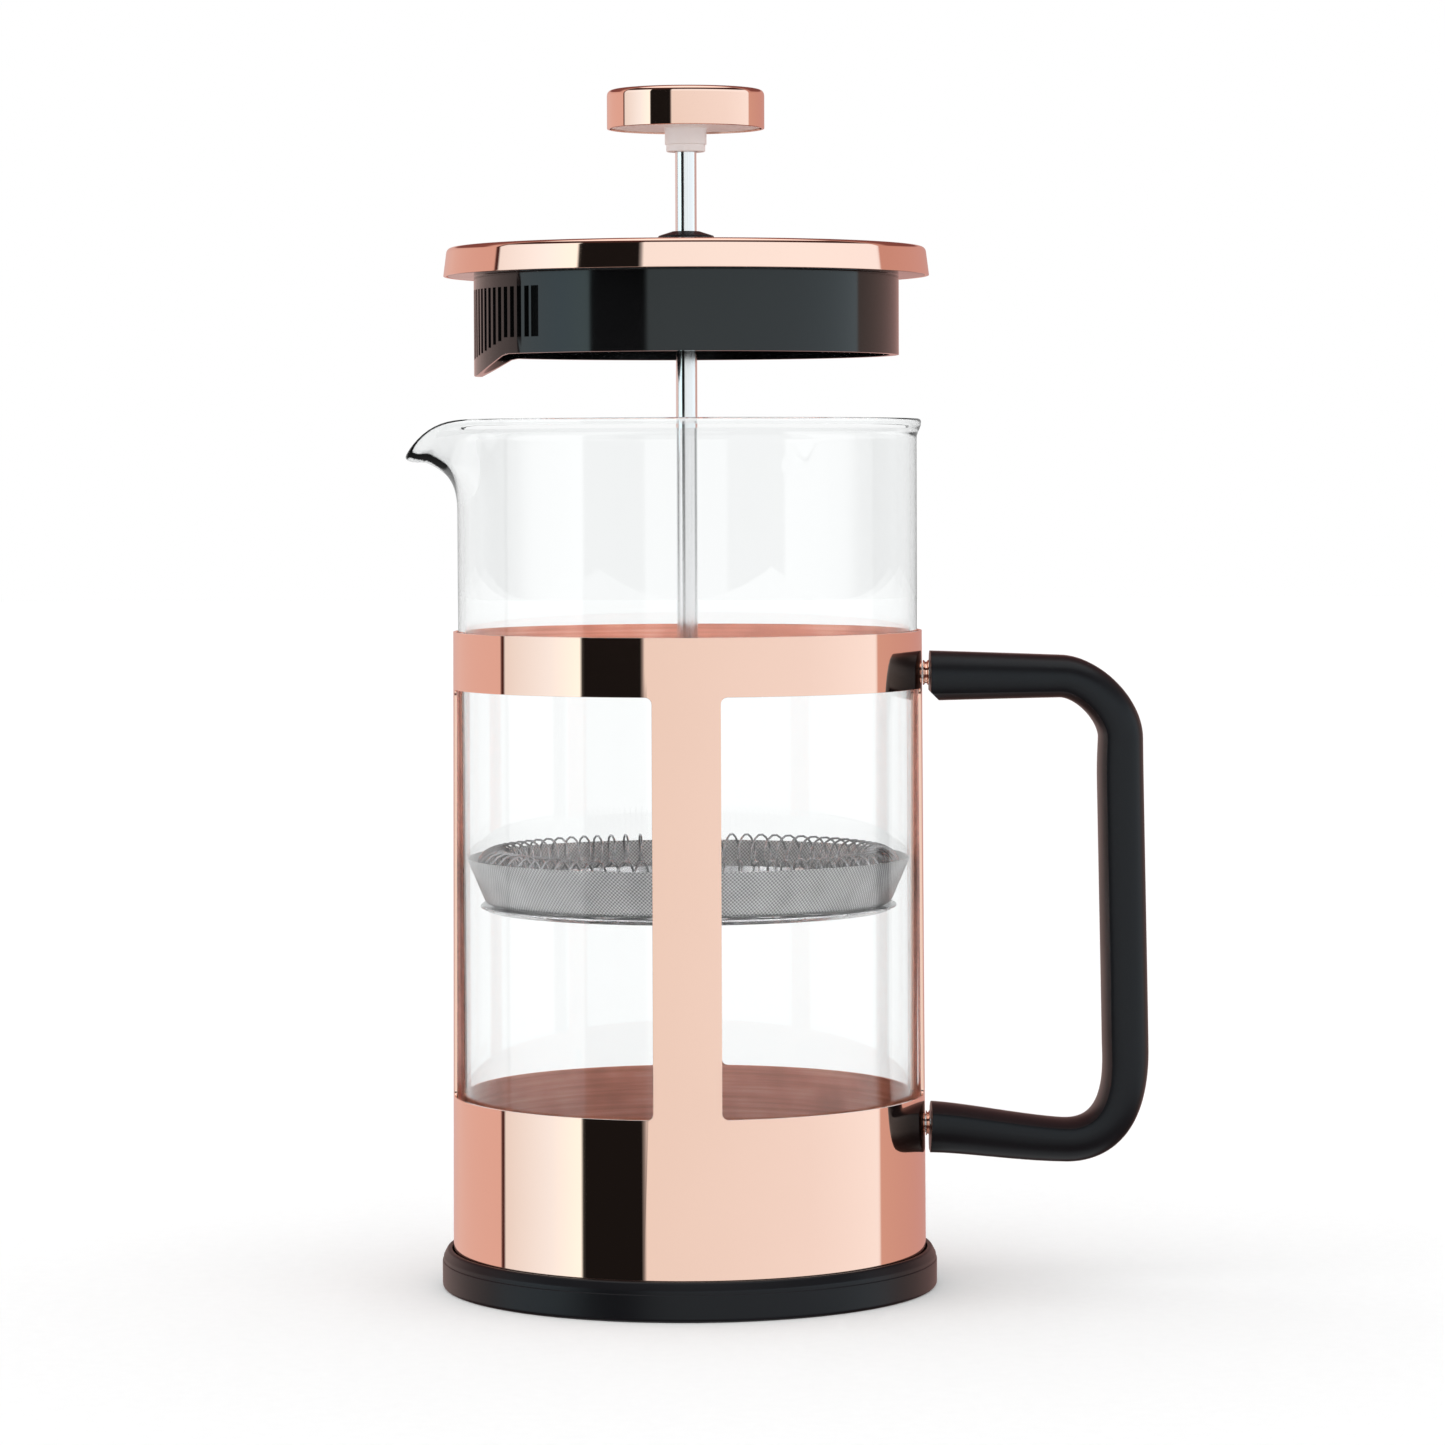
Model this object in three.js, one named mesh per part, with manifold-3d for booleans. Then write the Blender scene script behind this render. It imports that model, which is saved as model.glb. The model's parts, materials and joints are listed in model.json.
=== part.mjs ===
// A one-litre french press: a glass beaker in a plated sheet-metal frame on a plastic coaster,
// with a side handle, a lid that turns on its guide bush, and a plunger with a sprung filter.
// Millimetres, +Z up. The origin is on the pot's axis, in the plane that the coaster stands on.
// The handle points along +X and the spout along -X.

import * as THREE from 'three';
import { mergeVertices } from 'three/addons/utils/BufferGeometryUtils.js';
import Module from 'manifold-3d';

const wasm = await Module();
wasm.setup();

// Driving dimensions

const gap = 0.3; // running and seating clearance between neighbouring pieces
const ringSides = 48; // facets round the large turned pieces
const knobSides = 36;
const smallSides = 20; // facets round the rod, bush, nuts and screws
const boreSides = 12; // facets round the screws' shanks and pilot holes

const beakerRadius = 49.75; // outside of the glass wall
const glassWall = 1.3;
const beakerHeight = 182.2; // underside of the glass floor to the rim
const beakerCorner = 7; // outer radius between floor and wall
const rimFlare = 0.95; // how far the rim stands outside the wall
const rimHeight = 4;
const spoutReach = 11.1; // tip of the spout outside the wall
const spoutDrop = 9; // tip of the spout below the rim
const spoutDepth = 20; // length of wall that bends into the spout, measured from the rim
const spoutHalfAngle = 31; // degrees from the spout's middle to where it runs out

const coasterWall = 2.1;
const coasterHeight = 8.4;
const coasterFloor = 4.7; // thickness of the coaster's floor over its foot recess
const coasterFootWidth = 6;
const footRecess = 1;
const footPadRadius = 15;

const frameWall = 0.6;
const frameClearance = 0.45; // between the glass and the frame's head
const frameTaper = 0.7; // the frame's foot is this much wider in radius than its head
const frameBelowRim = 45.7; // top edge of the frame below the beaker's rim
const upperBandHeight = 12.4;
const lowerBandHeight = 36;
const strapWidth = 14.4;
const windowFillet = 1.4;

const gripStandOff = 48.4; // outer face of the grip from the frame's foot
const handleLean = 1.2; // the grip's head is this much nearer to the pot than its foot
const gripDepth = 9.2;
const gripWidth = 15.6;
const armRootDepth = 10.8;
const armAboveScrew = 4.7; // top edge of an arm's root over the middle of its screw
const handleOuterCorner = 18;
const handleInnerCorner = 7;
const upperArmFall = 1; // drop of the upper arm's top edge from frame to corner
const lowerArmFall = 2.1; // drop of the lower arm's under edge from frame to corner
const gripHeelEase = 10; // the foot corner's curve starts this much further up the grip
const armRootChamfer = 2;
const gripEdge = 3; // rounding of the grip's long edges

const spacerLength = 0.8;
const spacerGap = 0.2; // at each end of a spacer
const spacerWall = 0.5;
const screwHeadRadius = 2.05;
const screwHeadHeight = 0.75;
const screwHeadGap = 0.15;
const screwShankRadius = 1.2;
const screwLength = 16;
const upperScrewRise = 3.1; // above the upper band's lower edge
const lowerScrewDrop = 7.1; // below the lower band's upper edge

const lidRaise = 30.6; // how far the lid stands above its seat on the rim
const coverOverhang = 1.8; // how far the cover stands outside the rim
const coverTaper = 0.8;
const coverSide = 6.1; // height of the cover's side
const coverCrown = 1.1; // rise from the shoulder to the middle
const coverShoulder = 1.3;
const coverSheet = 0.6;
const lidDisc = 2.4; // thickness of the lid body's disc
const skirtClearance = 2.5; // between the skirt and the inside of the glass
const skirtWall = 2;
const skirtHeight = 17.1;
const tongueDrop = 4.4;
const tongueRun = 7.9; // how far the tongue's lower edge runs in from the skirt
const slotCount = 31;
const slotPitch = 3.1; // degrees
const slotWidth = 1.3;
const slotHeight = 10.7;
const slotFoot = 3.4; // plain border under the slots

const rodRadius = 2.3;
const bushWall = 1.6;
const bushFlange = 1.85; // how far the flange stands outside the shank
const bushFlangeHeight = 1.2;
const bushConeHeight = 1;
const bushLip = 0.3; // wall at the top of the cone
const guideNutWall = 3.5;
const guideNutHeight = 3.2;

const knobRise = 22; // from the top of the bush to the knob's lower edge
const knobRadius = 17;
const knobHeight = 8.4;
const knobSheet = 0.6;
const knobFillet = 1.4;
const coreCollarWall = 1.9;
const coreCollarHeight = 4.9;
const coreCollarChamfer = 0.5;
const rodInKnob = 4.5; // depth of the rod in the core above the knob's lower edge

const filterHeight = 76.1; // from the beaker's underside to the filter plate's underside
const plateOverhang = 1.45; // how far the plate stands outside the mesh's foot
const plateThickness = 1.2;
const plateHoleRadius = 3.2;
const plateHoleSides = 7;
const holeRingStart = 13; // radius of the innermost ring of holes
const holeRingPitch = 10.5;
const holeRingMargin = 5; // plain plate outside the last ring
const holesPerRing = 6; // each ring has this many more than the one inside it
const meshThickness = 0.6;
const meshRimHeight = 10; // from the mesh floor to its rim
const meshFlare = 4.2; // how far the rim stands outside the foot
const meshFootRound = 1.5;
const springTubeRadius = 3.8;
const springWireRadius = 0.3;
const springTurns = 40;
const springProud = 1.5; // top of the coil above the mesh's rim
const springPlateSheet = 0.8;
const springPlateRise = 4; // the plate's edge above its middle
const rodCollarWall = 2.4;
const rodCollarHeight = 5;
const hubWall = 4.4;
const hubHeight = 3.6;

// Radii and places that follow from them

const beakerInside = beakerRadius - glassWall;
const frameHeadRadius = beakerRadius + frameClearance + frameWall;
const frameFootRadius = frameHeadRadius + frameTaper;
const coverRadius = beakerRadius + rimFlare + coverOverhang;
const skirtRadius = beakerInside - skirtClearance;
const meshRimRadius = beakerInside - gap;
const meshFootRadius = meshRimRadius - meshFlare;
const plateRadius = meshFootRadius + plateOverhang;
const rodBore = rodRadius + gap;
const bushShankRadius = rodBore + bushWall;
const lidBore = bushShankRadius + gap;

const seatZ = footRecess + coasterFloor; // floor that the beaker and frame stand on
const beakerZ = seatZ + gap;
const rimZ = beakerZ + beakerHeight;
const frameZ = seatZ + gap;
const frameTopZ = rimZ - frameBelowRim;
const upperBandZ = frameTopZ - upperBandHeight;
const lowerBandTopZ = frameZ + lowerBandHeight;
const upperScrewZ = upperBandZ + upperScrewRise;
const lowerScrewZ = lowerBandTopZ - lowerScrewDrop;

const lidZ = rimZ + gap + lidRaise; // underside of the lid's flange
const coverTopZ = lidZ + coverSide;
const crownZ = coverTopZ + coverCrown;
const discTopZ = coverTopZ - coverSheet - gap;
const guideNutZ = discTopZ - lidDisc - gap - guideNutHeight;
const bushZ = crownZ + gap; // underside of the bush's flange
const bushTopZ = bushZ + bushFlangeHeight + bushConeHeight;
const knobZ = bushTopZ + knobRise;
const rodTopZ = knobZ + rodInKnob;

const plateZ = beakerZ + filterHeight;
const meshZ = plateZ + plateThickness + gap;
const meshRimZ = meshZ + meshRimHeight;
const springZ = meshRimZ + springProud - springTubeRadius;
const springPlateZ = meshZ + meshThickness + gap;
const rodCollarZ = springPlateZ + springPlateSheet + gap;
const hubZ = plateZ - gap - hubHeight;

const colours = {
	copper: { color: 0xe8bfa8, roughness: 0.12, metalness: 1 },
	blackPlastic: { color: 0x26272b, roughness: 0.45, metalness: 0 },
	glossBlack: { color: 0x1c1c1e, roughness: 0.15, metalness: 0 },
	whitePlastic: { color: 0xece8e6, roughness: 0.4, metalness: 0 },
	steel: { color: 0xc9c9cb, roughness: 0.2, metalness: 1 },
	glass: { color: 0xf2f6f5, roughness: 0.02, metalness: 0 },
};

// Helpers

function polar( radius, degrees ) {

	const angle = THREE.MathUtils.degToRad( degrees );
	return new THREE.Vector2( radius * Math.cos( angle ), radius * Math.sin( angle ) );

}

// A quarter-circle or any other arc as profile points, both ends included.
function arc( centreR, centreZ, radius, fromDegrees, toDegrees, steps ) {

	const points = [];
	for ( let i = 0; i <= steps; i ++ ) {

		const offset = polar( radius, THREE.MathUtils.lerp( fromDegrees, toDegrees, i / steps ) );
		points.push( [ centreR + offset.x, centreZ + offset.y ] );

	}

	return points;

}

// Turns a profile of [ radius, height ] points about +Z. The points run counterclockwise
// with the radius to the right, and the last one joins the first or both lie on the axis.
function turned( profile, sides ) {

	const points = profile.map( ( [ r, z ] ) => new THREE.Vector2( r, z ) );
	const onAxis = profile[ 0 ][ 0 ] === 0 && profile.at( - 1 )[ 0 ] === 0;
	if ( ! onAxis ) points.push( points[ 0 ].clone() );
	const geometry = new THREE.LatheGeometry( points, sides );
	geometry.rotateX( Math.PI / 2 );
	return geometry;

}

function ring( outer, bore, bottomZ, height ) {

	const topZ = bottomZ + height;
	return turned( [ [ bore, bottomZ ], [ outer, bottomZ ], [ outer, topZ ], [ bore, topZ ] ], smallSides );

}

function solid( geometry ) {

	const bare = geometry.clone();
	bare.deleteAttribute( 'normal' );
	bare.deleteAttribute( 'uv' );
	const merged = mergeVertices( bare, 1e-4 );
	const index = merged.index.array;
	const triVerts = [];
	for ( let i = 0; i < index.length; i += 3 ) {

		const [ a, b, c ] = [ index[ i ], index[ i + 1 ], index[ i + 2 ] ];
		if ( a !== b && b !== c && c !== a ) triVerts.push( a, b, c );

	}

	return new wasm.Manifold( new wasm.Mesh( {
		numProp: 3,
		vertProperties: new Float32Array( merged.attributes.position.array ),
		triVerts: new Uint32Array( triVerts ),
	} ) );

}

function surface( manifold ) {

	const mesh = manifold.getMesh();
	const geometry = new THREE.BufferGeometry();
	geometry.setAttribute( 'position', new THREE.BufferAttribute( mesh.vertProperties, 3 ) );
	geometry.setIndex( new THREE.BufferAttribute( mesh.triVerts, 1 ) );
	geometry.computeVertexNormals();
	return geometry;

}

function cut( geometry, cutters ) {

	const result = cutters.reduce( ( rest, cutter ) => rest.subtract( solid( cutter ) ), solid( geometry ) );
	return surface( result );

}

function join( first, second ) {

	return surface( solid( first ).add( solid( second ) ) );

}

// Extrudes a shape drawn in X and Z along +Y, between two places.
function extrudedAlongY( shape, fromY, toY, settings = {} ) {

	const options = { depth: toY - fromY, bevelEnabled: false, ...settings };
	const geometry = new THREE.ExtrudeGeometry( shape, options );
	geometry.rotateX( Math.PI / 2 );
	geometry.translate( 0, toY, 0 );
	return geometry;

}

// A round bar along +X at a height.
function barAlongX( radius, fromX, toX, z, sides = smallSides ) {

	const geometry = new THREE.CylinderGeometry( radius, radius, toX - fromX, sides );
	geometry.rotateZ( - Math.PI / 2 );
	geometry.translate( ( fromX + toX ) / 2, 0, z );
	return geometry;

}

function roundedRect( left, right, bottom, top, radius ) {

	const shape = new THREE.Shape();
	shape.moveTo( left + radius, bottom );
	shape.lineTo( right - radius, bottom );
	shape.absarc( right - radius, bottom + radius, radius, - Math.PI / 2, 0 );
	shape.lineTo( right, top - radius );
	shape.absarc( right - radius, top - radius, radius, 0, Math.PI / 2 );
	shape.lineTo( left + radius, top );
	shape.absarc( left + radius, top - radius, radius, Math.PI / 2, Math.PI );
	shape.lineTo( left, bottom + radius );
	shape.absarc( left + radius, bottom + radius, radius, Math.PI, Math.PI * 1.5 );
	return shape;

}

// Coaster and frame

function baseCoaster() {

	const inside = frameFootRadius + gap;
	const outside = inside + coasterWall;
	const footInside = outside - coasterFootWidth;
	const bottomRound = 0.8;
	const lipRound = coasterWall * 0.6;
	return turned( [
		[ 0, 0 ],
		[ footPadRadius, 0 ],
		[ footPadRadius + footRecess, footRecess ],
		[ footInside - footRecess, footRecess ],
		[ footInside, 0 ],
		...arc( outside - bottomRound, bottomRound, bottomRound, - 90, 0, 2 ),
		...arc( outside - lipRound, coasterHeight - lipRound, lipRound, 0, 90, 3 ),
		[ inside, coasterHeight ],
		[ inside, seatZ ],
		[ 0, seatZ ],
	], ringSides );

}

function frameRadiusAt( z ) {

	return THREE.MathUtils.mapLinear( z, frameZ, frameTopZ, frameFootRadius, frameHeadRadius );

}

function frameShell() {

	const shell = turned( [
		[ frameFootRadius - frameWall, frameZ ],
		[ frameFootRadius, frameZ ],
		[ frameHeadRadius, frameTopZ ],
		[ frameHeadRadius - frameWall, frameTopZ ],
	], ringSides );

	// each window is where two rounded openings cross, so all its corners are filleted
	const beyond = frameFootRadius * 1.5;
	const opening = roundedRect( strapWidth / 2, beyond, lowerBandTopZ, upperBandZ, windowFillet );
	const windows = [ 0, 90, 180, 270 ].map( ( degrees ) => {

		const alongY = extrudedAlongY( opening, 0, beyond, { curveSegments: 3 } );
		const alongX = extrudedAlongY( opening, - beyond, 0, { curveSegments: 3 } ).rotateZ( Math.PI / 2 );
		const window = surface( solid( alongY ).intersect( solid( alongX ) ) );
		return window.rotateZ( THREE.MathUtils.degToRad( degrees ) );

	} );

	const screwHoles = [ upperScrewZ, lowerScrewZ ].map( ( z ) =>
		barAlongX( screwHeadRadius + gap, beakerRadius - 5, beyond, z ) );
	return cut( shell, [ ...windows, ...screwHoles ] );

}

// Handle

const handleRootX = frameRadiusAt( lowerScrewZ ) + spacerGap + spacerLength + spacerGap;
const screwSeatX = handleRootX - spacerGap - spacerWall - screwHeadGap;

// The outline is drawn in X and Z: out along the upper arm, down the grip and back.
function handleOutline() {

	const upperTop = upperScrewZ + armAboveScrew;
	const upperBottom = upperTop - armRootDepth;
	const lowerTop = lowerScrewZ + armAboveScrew;
	const lowerBottom = lowerTop - armRootDepth;
	const cornerTop = upperTop - upperArmFall;
	const cornerBottom = lowerBottom - lowerArmFall;
	const innerTop = cornerTop - gripDepth;
	const innerBottom = cornerBottom + gripDepth;
	const footOut = frameFootRadius + gripStandOff;
	const footIn = footOut - gripDepth;
	const headOut = footOut - handleLean;
	const headIn = footIn - handleLean;
	const heel = handleOuterCorner * 0.45; // handles of the foot corner's curve
	const shape = new THREE.Shape();
	shape.moveTo( handleRootX, upperTop );
	shape.lineTo( headOut - handleOuterCorner, cornerTop );
	shape.quadraticCurveTo( headOut, cornerTop, headOut, cornerTop - handleOuterCorner );
	shape.lineTo( footOut, cornerBottom + handleOuterCorner + gripHeelEase );
	shape.bezierCurveTo(
		footOut, cornerBottom + heel,
		footOut - heel, cornerBottom,
		footOut - handleOuterCorner, cornerBottom,
	);
	shape.lineTo( handleRootX, lowerBottom );
	shape.lineTo( handleRootX, lowerTop );
	shape.lineTo( footIn - handleInnerCorner, innerBottom );
	shape.quadraticCurveTo( footIn, innerBottom, footIn, innerBottom + handleInnerCorner );
	shape.lineTo( headIn, innerTop - handleInnerCorner );
	shape.quadraticCurveTo( headIn, innerTop, headIn - handleInnerCorner, innerTop );
	shape.lineTo( handleRootX + armRootChamfer, upperBottom );
	shape.lineTo( handleRootX, upperBottom + armRootChamfer );
	return shape;

}

function handleGrip() {

	const side = gripEdge * 0.6;
	const grip = extrudedAlongY( handleOutline(), gripEdge - gripWidth / 2, gripWidth / 2 - gripEdge, {
		curveSegments: 6,
		bevelEnabled: true,
		bevelThickness: gripEdge,
		bevelSize: side,
		bevelOffset: - side,
		bevelSegments: 2,
	} );
	const pilots = [ upperScrewZ, lowerScrewZ ].map( ( z ) =>
		barAlongX( screwShankRadius + gap, handleRootX - 1, handleRootX + screwLength, z, boreSides ) );
	return cut( grip, pilots );

}

function handleSpacer( z ) {

	const fromX = frameRadiusAt( z ) + spacerGap;
	const toX = handleRootX - spacerGap;
	const boreRadius = screwHeadRadius + screwHeadGap;
	return cut( barAlongX( boreRadius + spacerWall, fromX, toX, z ), [
		barAlongX( boreRadius, fromX - 1, toX - spacerWall, z ),
		barAlongX( screwShankRadius + gap, fromX - 1, toX + 1, z, boreSides ),
	] );

}

function handleScrew( z ) {

	const tipX = handleRootX + screwLength - 1;
	return join(
		barAlongX( screwHeadRadius, screwSeatX - screwHeadHeight, screwSeatX, z ),
		barAlongX( screwShankRadius, screwSeatX - screwHeadHeight / 2, tipX, z, boreSides ),
	);

}

// Beaker

function glassBeaker() {

	const spoutFoot = rimZ - spoutDepth;
	const spoutCurve = new THREE.CubicBezierCurve(
		new THREE.Vector2( beakerRadius, spoutFoot ),
		new THREE.Vector2( beakerRadius, spoutFoot + spoutDepth * 0.4 ),
		new THREE.Vector2( beakerRadius + spoutReach * 0.25, rimZ - spoutDrop - 1.5 ),
		new THREE.Vector2( beakerRadius + spoutReach, rimZ - spoutDrop ),
	);
	const steps = 7;
	const outerWall = [];
	const innerWall = [];
	for ( let i = 0; i <= steps; i ++ ) {

		const z = THREE.MathUtils.lerp( spoutFoot, rimZ, i / steps );
		const flare = rimFlare * THREE.MathUtils.smoothstep( z, rimZ - rimHeight, rimZ - 1 );
		outerWall.push( [ beakerRadius + flare, z ] );
		innerWall.unshift( [ beakerInside + flare, z ] );

	}

	// rounded floor corners, then both walls
	const innerCorner = beakerCorner - glassWall;
	const floorZ = beakerZ + glassWall;
	const glass = turned( [
		[ 0, beakerZ ],
		...arc( beakerRadius - beakerCorner, beakerZ + beakerCorner, beakerCorner, - 90, 0, 3 ),
		...outerWall,
		...innerWall,
		...arc( beakerInside - innerCorner, floorZ + innerCorner, innerCorner, 0, - 90, 3 ),
		[ 0, floorZ ],
	], ringSides );

	const position = glass.attributes.position;
	const point = new THREE.Vector3();
	for ( let i = 0; i < position.count; i ++ ) {

		point.fromBufferAttribute( position, i );
		if ( point.z < spoutFoot ) continue;
		const radius = Math.hypot( point.x, point.y );
		const away = THREE.MathUtils.radToDeg( Math.abs( Math.atan2( point.y, - point.x ) ) );
		const pull = 1 - THREE.MathUtils.smoothstep( away, 0, spoutHalfAngle );
		if ( pull === 0 ) continue;
		const along = ( point.z - spoutFoot ) / spoutDepth;
		const inward = beakerRadius - radius;
		const on = spoutCurve.getPoint( along );
		const direction = spoutCurve.getTangent( along );
		const r = THREE.MathUtils.lerp( radius, on.x - direction.y * inward, pull );
		const z = THREE.MathUtils.lerp( point.z, on.y + direction.x * inward, pull );
		const angle = Math.atan2( point.y, point.x );
		position.setXYZ( i, r * Math.cos( angle ), r * Math.sin( angle ), z );

	}

	return glass;

}

// Lid

function coverOutside( inset ) {

	const topRadius = coverRadius - coverTaper - inset;
	const round = coverShoulder - Math.min( inset, coverShoulder * 0.8 );
	return [
		[ coverRadius - inset, lidZ ],
		...arc( topRadius - round, coverTopZ - round - inset, round, 0, 80, 2 ),
	];

}

function lidCover() {

	return turned( [
		...coverOutside( 0 ),
		[ coverRadius * 0.5, crownZ - coverCrown * 0.25 ],
		[ lidBore, crownZ ],
		[ lidBore, crownZ - coverSheet ],
		[ coverRadius * 0.5, crownZ - coverCrown * 0.25 - coverSheet ],
		...coverOutside( coverSheet ).reverse(),
	], ringSides );

}

function lidBody() {

	const inset = coverSheet + gap;
	const discZ = discTopZ - lidDisc;
	const skirtInside = skirtRadius - skirtWall;
	const skirtZ = lidZ - skirtHeight;
	const body = turned( [
		[ skirtInside, skirtZ - tongueDrop ],
		[ skirtRadius, skirtZ - tongueDrop ],
		[ skirtRadius, lidZ ],
		...coverOutside( inset ),
		[ lidBore, discTopZ ],
		[ lidBore, discZ ],
		[ skirtInside, discZ ],
	], ringSides );

	// the skirt's lower edge is level, and slopes down into a tongue at the spout side
	const beyond = coverRadius * 1.5;
	const below = new THREE.Shape();
	below.moveTo( beyond, skirtZ );
	below.lineTo( - skirtRadius + tongueRun, skirtZ );
	below.lineTo( - skirtRadius, skirtZ - tongueDrop );
	below.lineTo( - skirtRadius, skirtZ - tongueDrop * 2 );
	below.lineTo( beyond, skirtZ - tongueDrop * 2 );
	const slots = [];
	for ( let i = 0; i < slotCount; i ++ ) {

		const degrees = 180 + ( i - ( slotCount - 1 ) / 2 ) * slotPitch;
		const slot = new THREE.BoxGeometry( skirtWall * 3, slotWidth, slotHeight );
		slot.translate( skirtRadius - skirtWall / 2, 0, skirtZ + slotFoot + slotHeight / 2 );
		slots.push( slot.rotateZ( THREE.MathUtils.degToRad( degrees ) ) );

	}

	return cut( body, [ extrudedAlongY( below, - beyond, beyond ), ...slots ] );

}

function guideBush() {

	const flangeRadius = bushShankRadius + bushFlange;
	return turned( [
		[ rodBore, guideNutZ ],
		[ bushShankRadius, guideNutZ ],
		[ bushShankRadius, bushZ ],
		[ flangeRadius, bushZ ],
		[ flangeRadius, bushZ + bushFlangeHeight ],
		[ rodBore + bushLip, bushTopZ ],
		[ rodBore, bushTopZ ],
	], smallSides );

}

function guideNut() {

	return ring( lidBore + guideNutWall, lidBore, guideNutZ, guideNutHeight );

}

// Knob and rod

function knobShell() {

	const top = knobZ + knobHeight;
	const insideTop = top - knobSheet;
	const innerRound = knobFillet - knobSheet;
	return turned( [
		[ knobRadius - knobSheet, knobZ ],
		[ knobRadius, knobZ ],
		...arc( knobRadius - knobFillet, top - knobFillet, knobFillet, 0, 90, 3 ),
		[ 0, top ],
		[ 0, insideTop ],
		...arc( knobRadius - knobFillet, insideTop - innerRound, innerRound, 90, 0, 2 ),
	], knobSides );

}

function knobCore() {

	const outside = knobRadius - knobSheet - gap;
	const collarZ = knobZ - coreCollarHeight;
	const top = knobZ + knobHeight - knobSheet - gap;
	const collar = rodBore + coreCollarWall;
	return turned( [
		[ rodBore, collarZ ],
		[ collar - coreCollarChamfer, collarZ ],
		[ collar, collarZ + coreCollarChamfer ],
		[ collar, knobZ + gap ],
		[ outside, knobZ + gap ],
		[ outside, top - knobFillet ],
		[ outside - knobFillet, top ],
		[ 0, top ],
		[ 0, rodTopZ + gap ],
		[ rodBore, rodTopZ + gap ],
	], smallSides );

}

function plungerRod() {

	const tip = rodRadius * 0.25;
	return turned( [
		[ 0, hubZ ],
		[ rodRadius - tip, hubZ ],
		[ rodRadius, hubZ + tip ],
		[ rodRadius, rodTopZ - tip ],
		[ rodRadius - tip, rodTopZ ],
		[ 0, rodTopZ ],
	], smallSides );

}

// Filter stack

// A collar or nut that the rod passes through.
function rodRing( wall, bottomZ, height ) {

	return ring( rodBore + wall, rodBore, bottomZ, height );

}

function perforated( disc, edgeRadius, bottomZ, topZ ) {

	const holes = [];
	const lastRing = edgeRadius - holeRingMargin - plateHoleRadius;
	let count = holesPerRing;
	for ( let radius = holeRingStart; radius < lastRing; radius += holeRingPitch ) {

		for ( let i = 0; i < count; i ++ ) {

			const place = polar( radius, 360 * i / count );
			const hole = new THREE.CylinderGeometry(
				plateHoleRadius, plateHoleRadius, topZ - bottomZ + 2, plateHoleSides );
			hole.rotateX( Math.PI / 2 );
			holes.push( hole.translate( place.x, place.y, ( bottomZ + topZ ) / 2 ) );

		}

		count += holesPerRing;

	}

	return cut( disc, holes );

}

function perforatedPlate() {

	const top = plateZ + plateThickness;
	const edge = plateThickness / 2;
	const disc = turned( [
		[ rodBore, plateZ ],
		...arc( plateRadius - edge, plateZ + edge, edge, - 90, 90, 3 ),
		[ rodBore, top ],
	], ringSides );
	return perforated( disc, plateRadius, plateZ, top );

}

function meshRadiusAt( z ) {

	return THREE.MathUtils.mapLinear( z, meshZ, meshRimZ, meshFootRadius, meshRimRadius );

}

function meshFilter() {

	const foot = meshFootRound;
	return turned( [
		[ rodBore, meshZ ],
		[ meshFootRadius - foot, meshZ ],
		[ meshRadiusAt( meshZ + foot ), meshZ + foot ],
		[ meshRimRadius, meshRimZ ],
		[ meshRimRadius - meshThickness, meshRimZ ],
		[ meshRadiusAt( meshZ + foot ) - meshThickness, meshZ + foot ],
		[ meshFootRadius - foot - meshThickness, meshZ + meshThickness ],
		[ rodBore, meshZ + meshThickness ],
	], ringSides );

}

// middle of the spring's tube, which lies against the inside of the mesh
const springRadius = meshRadiusAt( springZ ) - meshThickness - gap * 1.2 - springTubeRadius;

// The wire winds round a ring, so its middle line is a coil bent into a circle.
class RingCoil extends THREE.Curve {

	getPoint( t, target = new THREE.Vector3() ) {

		const lead = springTubeRadius - springWireRadius;
		const round = 2 * Math.PI * t * ( 1 - 0.3 / springTurns );
		const turn = round * springTurns;
		const radius = springRadius + lead * Math.cos( turn );
		return target.set(
			radius * Math.cos( round ),
			radius * Math.sin( round ),
			springZ + lead * Math.sin( turn ),
		);

	}

}

function coilSpring() {

	const wire = new THREE.Shape();
	for ( let i = 0; i < 3; i ++ ) {

		const corner = polar( springWireRadius, 120 * i );
		if ( i === 0 ) wire.moveTo( corner.x, corner.y );
		else wire.lineTo( corner.x, corner.y );

	}

	return new THREE.ExtrudeGeometry( wire, {
		steps: springTurns * 5,
		extrudePath: new RingCoil(),
	} );

}

function springPlate() {

	const edge = springRadius - springTubeRadius - gap;
	const flat = edge - springPlateRise * 0.6;
	const rise = springPlateZ + springPlateRise;
	const disc = turned( [
		[ rodBore, springPlateZ ],
		[ flat, springPlateZ ],
		[ edge, rise ],
		[ edge - springPlateSheet, rise ],
		[ flat - springPlateSheet, springPlateZ + springPlateSheet ],
		[ rodBore, springPlateZ + springPlateSheet ],
	], ringSides );
	return perforated( disc, flat, springPlateZ, springPlateZ + springPlateSheet );

}

// The model

const group = new THREE.Group();

function add( name, geometry, finish ) {

	const mesh = new THREE.Mesh( geometry, new THREE.MeshStandardMaterial( colours[ finish ] ) );
	mesh.name = name;
	group.add( mesh );

}

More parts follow.
